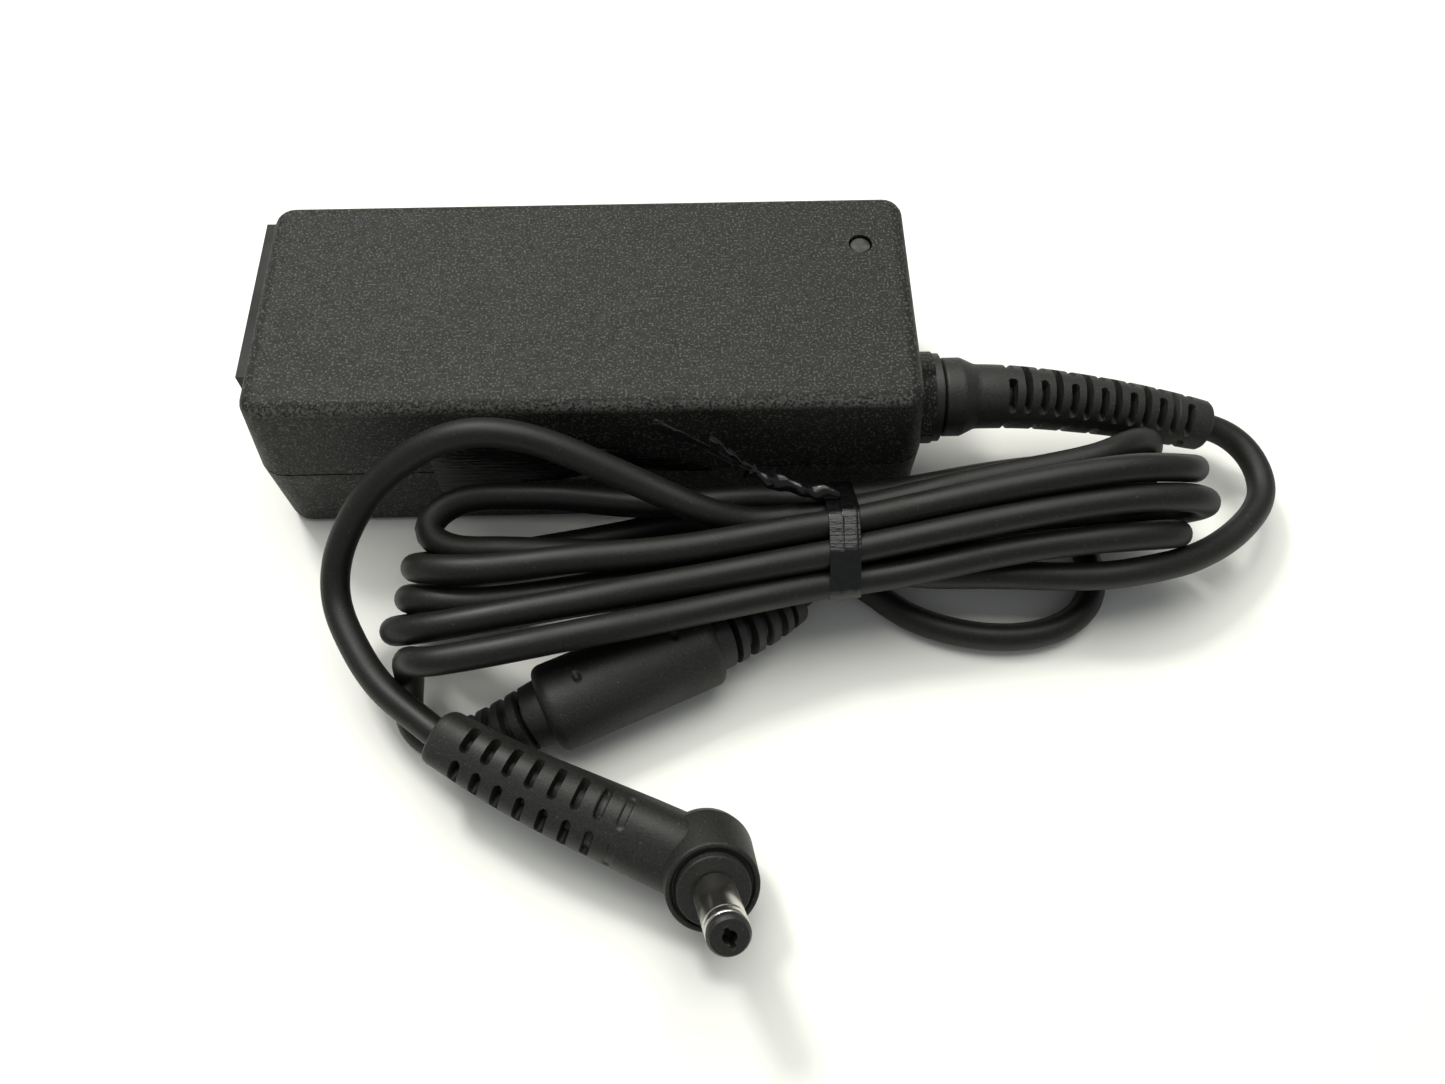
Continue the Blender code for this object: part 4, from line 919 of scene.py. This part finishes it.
TIP_COLUMNS = 192
HOLE_RADIUS, NOTCH_HALF_WIDTH = 0.9, 0.3
NOTCHES = ((100, 1.5), (-80, 1.3))
TIP_START = BARREL_START + 9.7 * PLUG_AXIS
TIP_ROWS = [
    (0.0, 1.85, -1.6), (0.0, 1.85, 0.0), (0.0, 2.7, 0.0), (0.0, 2.7, 0.55), (0.0, 2.66, 0.66),
    (0.0, 2.35, 1.06), (0.0, 2.2, 1.1), (1.08, 0.0, 1.05), (1.0, 0.0, 0.98), (1.0, 0.0, -1.2),
    (0.0, 0.0, -1.2),
]
tip_angle = np.linspace(0, 2 * np.pi, TIP_COLUMNS, endpoint=False)
key = np.full(TIP_COLUMNS, HOLE_RADIUS)
for degrees, reach in NOTCHES:
    turned = turn_from(tip_angle, math.radians(degrees))
    notch = np.minimum(reach, NOTCH_HALF_WIDTH / np.maximum(np.abs(np.sin(turned)), 0.01))
    key = np.where(np.abs(turned) < np.pi / 2, np.maximum(key, notch), key)
tip_side = np.cross(PLUG_AXIS, (0.0, 0.0, 1.0))
tip_side /= np.linalg.norm(tip_side)
tip_up = np.cross(PLUG_AXIS, tip_side)
tip_ring = np.cos(tip_angle)[:, None] * tip_side + np.sin(tip_angle)[:, None] * tip_up
tip_grid = np.stack([
    TIP_START + height * PLUG_AXIS + (share * key + radius)[:, None] * tip_ring
    for share, radius, height in TIP_ROWS
])
tip = piece("plug_tip", [shell(tip_grid, True, False)], "overmould", sharp=35)
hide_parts("plug_insulator")

# %% [markdown]
# ## The twist tie
# A tie is a glossy plastic ribbon with a wire in it. It is pulled tight round the strands twice, so
# its outline is the shape a rubber band would take. For every direction, the strand that reaches
# furthest that way carries the ribbon: its middle plus its radius in that direction is a point of
# the band. That one rule gives both the arcs on the strands and the straight spans between them.

# %% Wrap the tie round the hank
TIE_X = (34.45, 36.65)
TIE_HALF_WIDTH = 1.2
TIE_THICK = 0.16
WRAP_ROWS, WRAP_COLUMNS = 361, 40
CREASES = ((0.16, 0.30, 0.16), (0.12, -0.50, 0.14))
WRAPS = ((TIE_X[0], 0.10, 0.2), (TIE_X[1], 0.14, -0.15))


def strands_at(x):
    """(across, through) of every strand of the cord where it crosses a given x, except under the boot."""
    line = cord_line[nearest(cord_line, EXIT_ROUTE[-1]):]
    here = np.nonzero((line[:-1, 0] - x) * (line[1:, 0] - x) < 0)[0]
    share = ((x - line[here, 0]) / (line[here + 1, 0] - line[here, 0]))[:, None]
    points = line[here] * (1 - share) + line[here + 1] * share
    y, z = points[:, 1], points[:, 2]
    across = y * math.sin(LEAN) + z * math.cos(LEAN)
    through = -y * math.cos(LEAN) + z * math.sin(LEAN)
    return np.stack([across, through], axis=1)


def band_grid(x, clear, skew):
    """One wrap: the outline of the strands, grown by clear, times the ribbon's flat, creased section."""
    angle = np.linspace(0, 2 * np.pi, WRAP_ROWS)
    way = np.stack([np.cos(angle), np.sin(angle)], axis=1)
    strands = strands_at(x)
    outline = strands[(strands @ way.T).argmax(axis=0)] + (CORD_RADIUS + clear) * way
    turn = np.linspace(0, 2 * np.pi, WRAP_COLUMNS, endpoint=False)
    flat = np.sign(np.sin(turn)) * np.abs(np.sin(turn)) ** 0.35
    thick = np.sign(np.cos(turn)) * np.abs(np.cos(turn)) ** 0.7
    crease = sum(high * np.exp(-(((flat - place) / wide) ** 2)) for high, place, wide in CREASES)
    height = TIE_THICK / 2 * (1 + thick) + crease * (thick > -0.2)
    wide = TIE_HALF_WIDTH * (1 + 0.03 * np.sin(3 * angle + x))
    grid = np.empty((len(angle), len(turn), 3))
    grid[:, :, 0] = x + skew * np.sin(angle)[:, None] - wide[:, None] * flat
    over = outline[:, None] + height[None, :, None] * way[:, None]
    grid[:, :, 1] = over[:, :, 0] * math.sin(LEAN) - over[:, :, 1] * math.cos(LEAN)
    grid[:, :, 2] = over[:, :, 0] * math.cos(LEAN) + over[:, :, 1] * math.sin(LEAN)
    return grid


bands = [shell(band_grid(x, clear, skew), False, False) for x, clear, skew in WRAPS]
tie_band = piece("tie_wraps", bands, "tie_film", sharp=40)
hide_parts("tie_band")
print("strands under the tie:", len(strands_at(TIE_X[0])))

# %% [markdown]
# Beyond the hank the two ends of the ribbon are twisted into a knotty neck, and then part. A
# twisted pair is an ellipse that turns as it goes along; its radius at each angle is that of the
# turned ellipse. A ribbon is the same with a much flatter superellipse and less turn.

# %% Twist the ends of the tie
TIE_NECK_ROUTE = [(34.9, -27.6, 17.8), (31.6, -27.6, 18.9), (28.6, -27.1, 19.7), (25.4, -26.6, 20.9),
                  (22.6, -26.0, 22.4)]
TIE_TAIL_ROUTE = [(23.6, -26.4, 22.0), (20.6, -25.7, 23.6), (17.6, -24.9, 25.6), (13.8, -24.0, 27.8),
                  (9.6, -22.9, 29.7)]
TIE_WIRE_ROUTE = [(23.4, -26.1, 22.2), (21.0, -25.2, 24.2), (18.9, -24.5, 26.4), (17.2, -24.1, 27.9)]


def flat_radius(angle, half_width, half_thick, power):
    """Radius of a superellipse at an angle: ((cos / width)^n + (sin / thickness)^n)^(-1/n)."""
    wide, thin = np.abs(np.cos(angle)) / half_width, np.abs(np.sin(angle)) / half_thick
    return (wide**power + thin**power) ** (-1 / power)


def twisted(route, half_width, half_thick, turns, power, bulge=0.0, columns=40):
    """A flat section carried along a route while it turns, with an optional uneven swelling."""
    line = spline(route, 0.12)
    share = np.linspace(0, 1, len(line))[:, None]
    angle = np.linspace(0, 2 * np.pi, columns, endpoint=False)[None, :]
    size = 1 + bulge * (np.sin(share * 19) + 0.6 * np.sin(share * 31 + 2))
    radius = flat_radius(angle - 2 * np.pi * turns * share, half_width, half_thick, power) * size
    return shell(tube_grid(line, radius, columns, start=(0, -0.5, 0.87)))


NECK_SECTION = {"half_width": 1.3, "half_thick": 0.8, "turns": 1.15, "power": 2.2, "bulge": 0.17}
TAIL_SECTION = {"half_width": 0.95, "half_thick": 0.13, "turns": 0.12, "power": 5.0, "bulge": 0.02}
WIRE_SECTION = {"half_width": 0.42, "half_thick": 0.2, "turns": 1.4, "power": 2.5, "bulge": 0.05}
WIRE_COLUMNS = 24
tie_neck = piece("tie_twist", [twisted(TIE_NECK_ROUTE, **NECK_SECTION)], "tie_film", sharp=60)
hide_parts("tie_neck")
ribbon_end = twisted(TIE_TAIL_ROUTE, **TAIL_SECTION)
wire_end = twisted(TIE_WIRE_ROUTE, **WIRE_SECTION, columns=WIRE_COLUMNS)
tie_tail = piece("tie_ends", [ribbon_end, wire_end], "tie_film", sharp=50)
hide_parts("tie_tail")

# %% [markdown]
# ## The loose film
# A strip of shiny black film stands between the case and the hank. It is a thin sheet whose lower
# edge curls away from the wall. Front and back are one closed grid: each row is a loop that goes
# down the front and up the back.

# %% Hang the film
FILM_X = (-22.5, 17.6)
FILM_LOW = [(-22.5, 10.0), (-14.4, 11.4), (-5.4, 13.0), (6.0, 15.2), (12.0, 14.8), (17.6, 14.2)]
FILM_HIGH = [(-22.5, 20.9), (-19.7, 20.9), (2.0, 20.2), (11.0, 18.0), (15.5, 15.8), (17.6, 14.6)]
FILM_THICK = 0.14
FILM_ROWS, FILM_HALF_COLUMNS = 90, 34
FILM_Y = -20.76
CURL, CURL_HEIGHT, CURL_MIDDLE, CURL_HALF_LENGTH = 0.95, 0.3, 3, 7.0
RIPPLE, RIPPLE_ALONG, RIPPLE_DOWN = 0.07, 3.1, 4.0

film_x = np.linspace(*FILM_X, FILM_ROWS)
film_low = np.interp(film_x, *zip(*FILM_LOW))
film_high = np.interp(film_x, *zip(*FILM_HIGH))
half = np.linspace(1, 0, FILM_HALF_COLUMNS)
down = np.concatenate([half, half[::-1]])[None, :] ** 2
side_of = np.repeat([-1.0, 1.0], FILM_HALF_COLUMNS)[None, :]
film_z = film_low[:, None] + (film_high - film_low)[:, None] * down
curl_along = np.exp(-(((film_x[:, None] - CURL_MIDDLE) / CURL_HALF_LENGTH) ** 2))
curl = CURL * np.exp(-((film_z - film_low[:, None]) / CURL_HEIGHT)) * curl_along
ripple = RIPPLE * np.sin(film_x[:, None] / RIPPLE_ALONG + film_z / RIPPLE_DOWN)
film_y = FILM_Y - curl - ripple + side_of * FILM_THICK / 2
film_grid = np.stack([np.broadcast_to(film_x[:, None], film_z.shape), film_y, film_z], axis=-1)
film = piece("loose_film", [shell(film_grid)], "tie_film", sharp=60)
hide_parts("film_strip")

# %% [markdown]
# ## The case
# The cover and the base are measured solids with their openings, ribs and walls, so their shape is
# already right. Loose triangles shade as facets, though. A welded copy of each can share its
# normals across the fillets, while edges above the sharp angle stay crisp, and a weighted-normal
# modifier keeps the large flats flat.

# %% Weld smooth copies of the case parts
def smooth_copy(node, name, material, sharp=32):
    """A welded copy of a measured solid that stands for it, with smooth fillets and crisp edges."""
    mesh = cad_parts[node].data.copy()
    mesh.name = name
    weld(mesh)
    mesh.shade_smooth()
    mesh.set_sharp_from_angle(angle=math.radians(sharp))
    mesh.materials[0] = FINISHES[material]
    thing = bpy.data.objects.new(name, mesh)
    bpy.context.scene.collection.objects.link(thing)
    weights = thing.modifiers.new("flats", "WEIGHTED_NORMAL")
    weights.keep_sharp = True
    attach(thing, "root")
    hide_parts(node)
    print(f"{name}: {len(mesh.vertices)} points")
    return thing


CASE_PARTS = (
    ("top_cover", "cover", "case_plastic"),
    ("bottom_case", "base", "case_plastic"),
    ("inlet_socket", "inlet", "inlet_plastic"),
    ("led_lens", "lens_window", "lens"),
    ("live_pin", "pin_live", "nickel"),
    ("neutral_pin", "pin_neutral", "nickel"),
    ("earth_pin", "pin_earth", "nickel"),
)
for node, name, material in CASE_PARTS:
    smooth_copy(node, name, material)
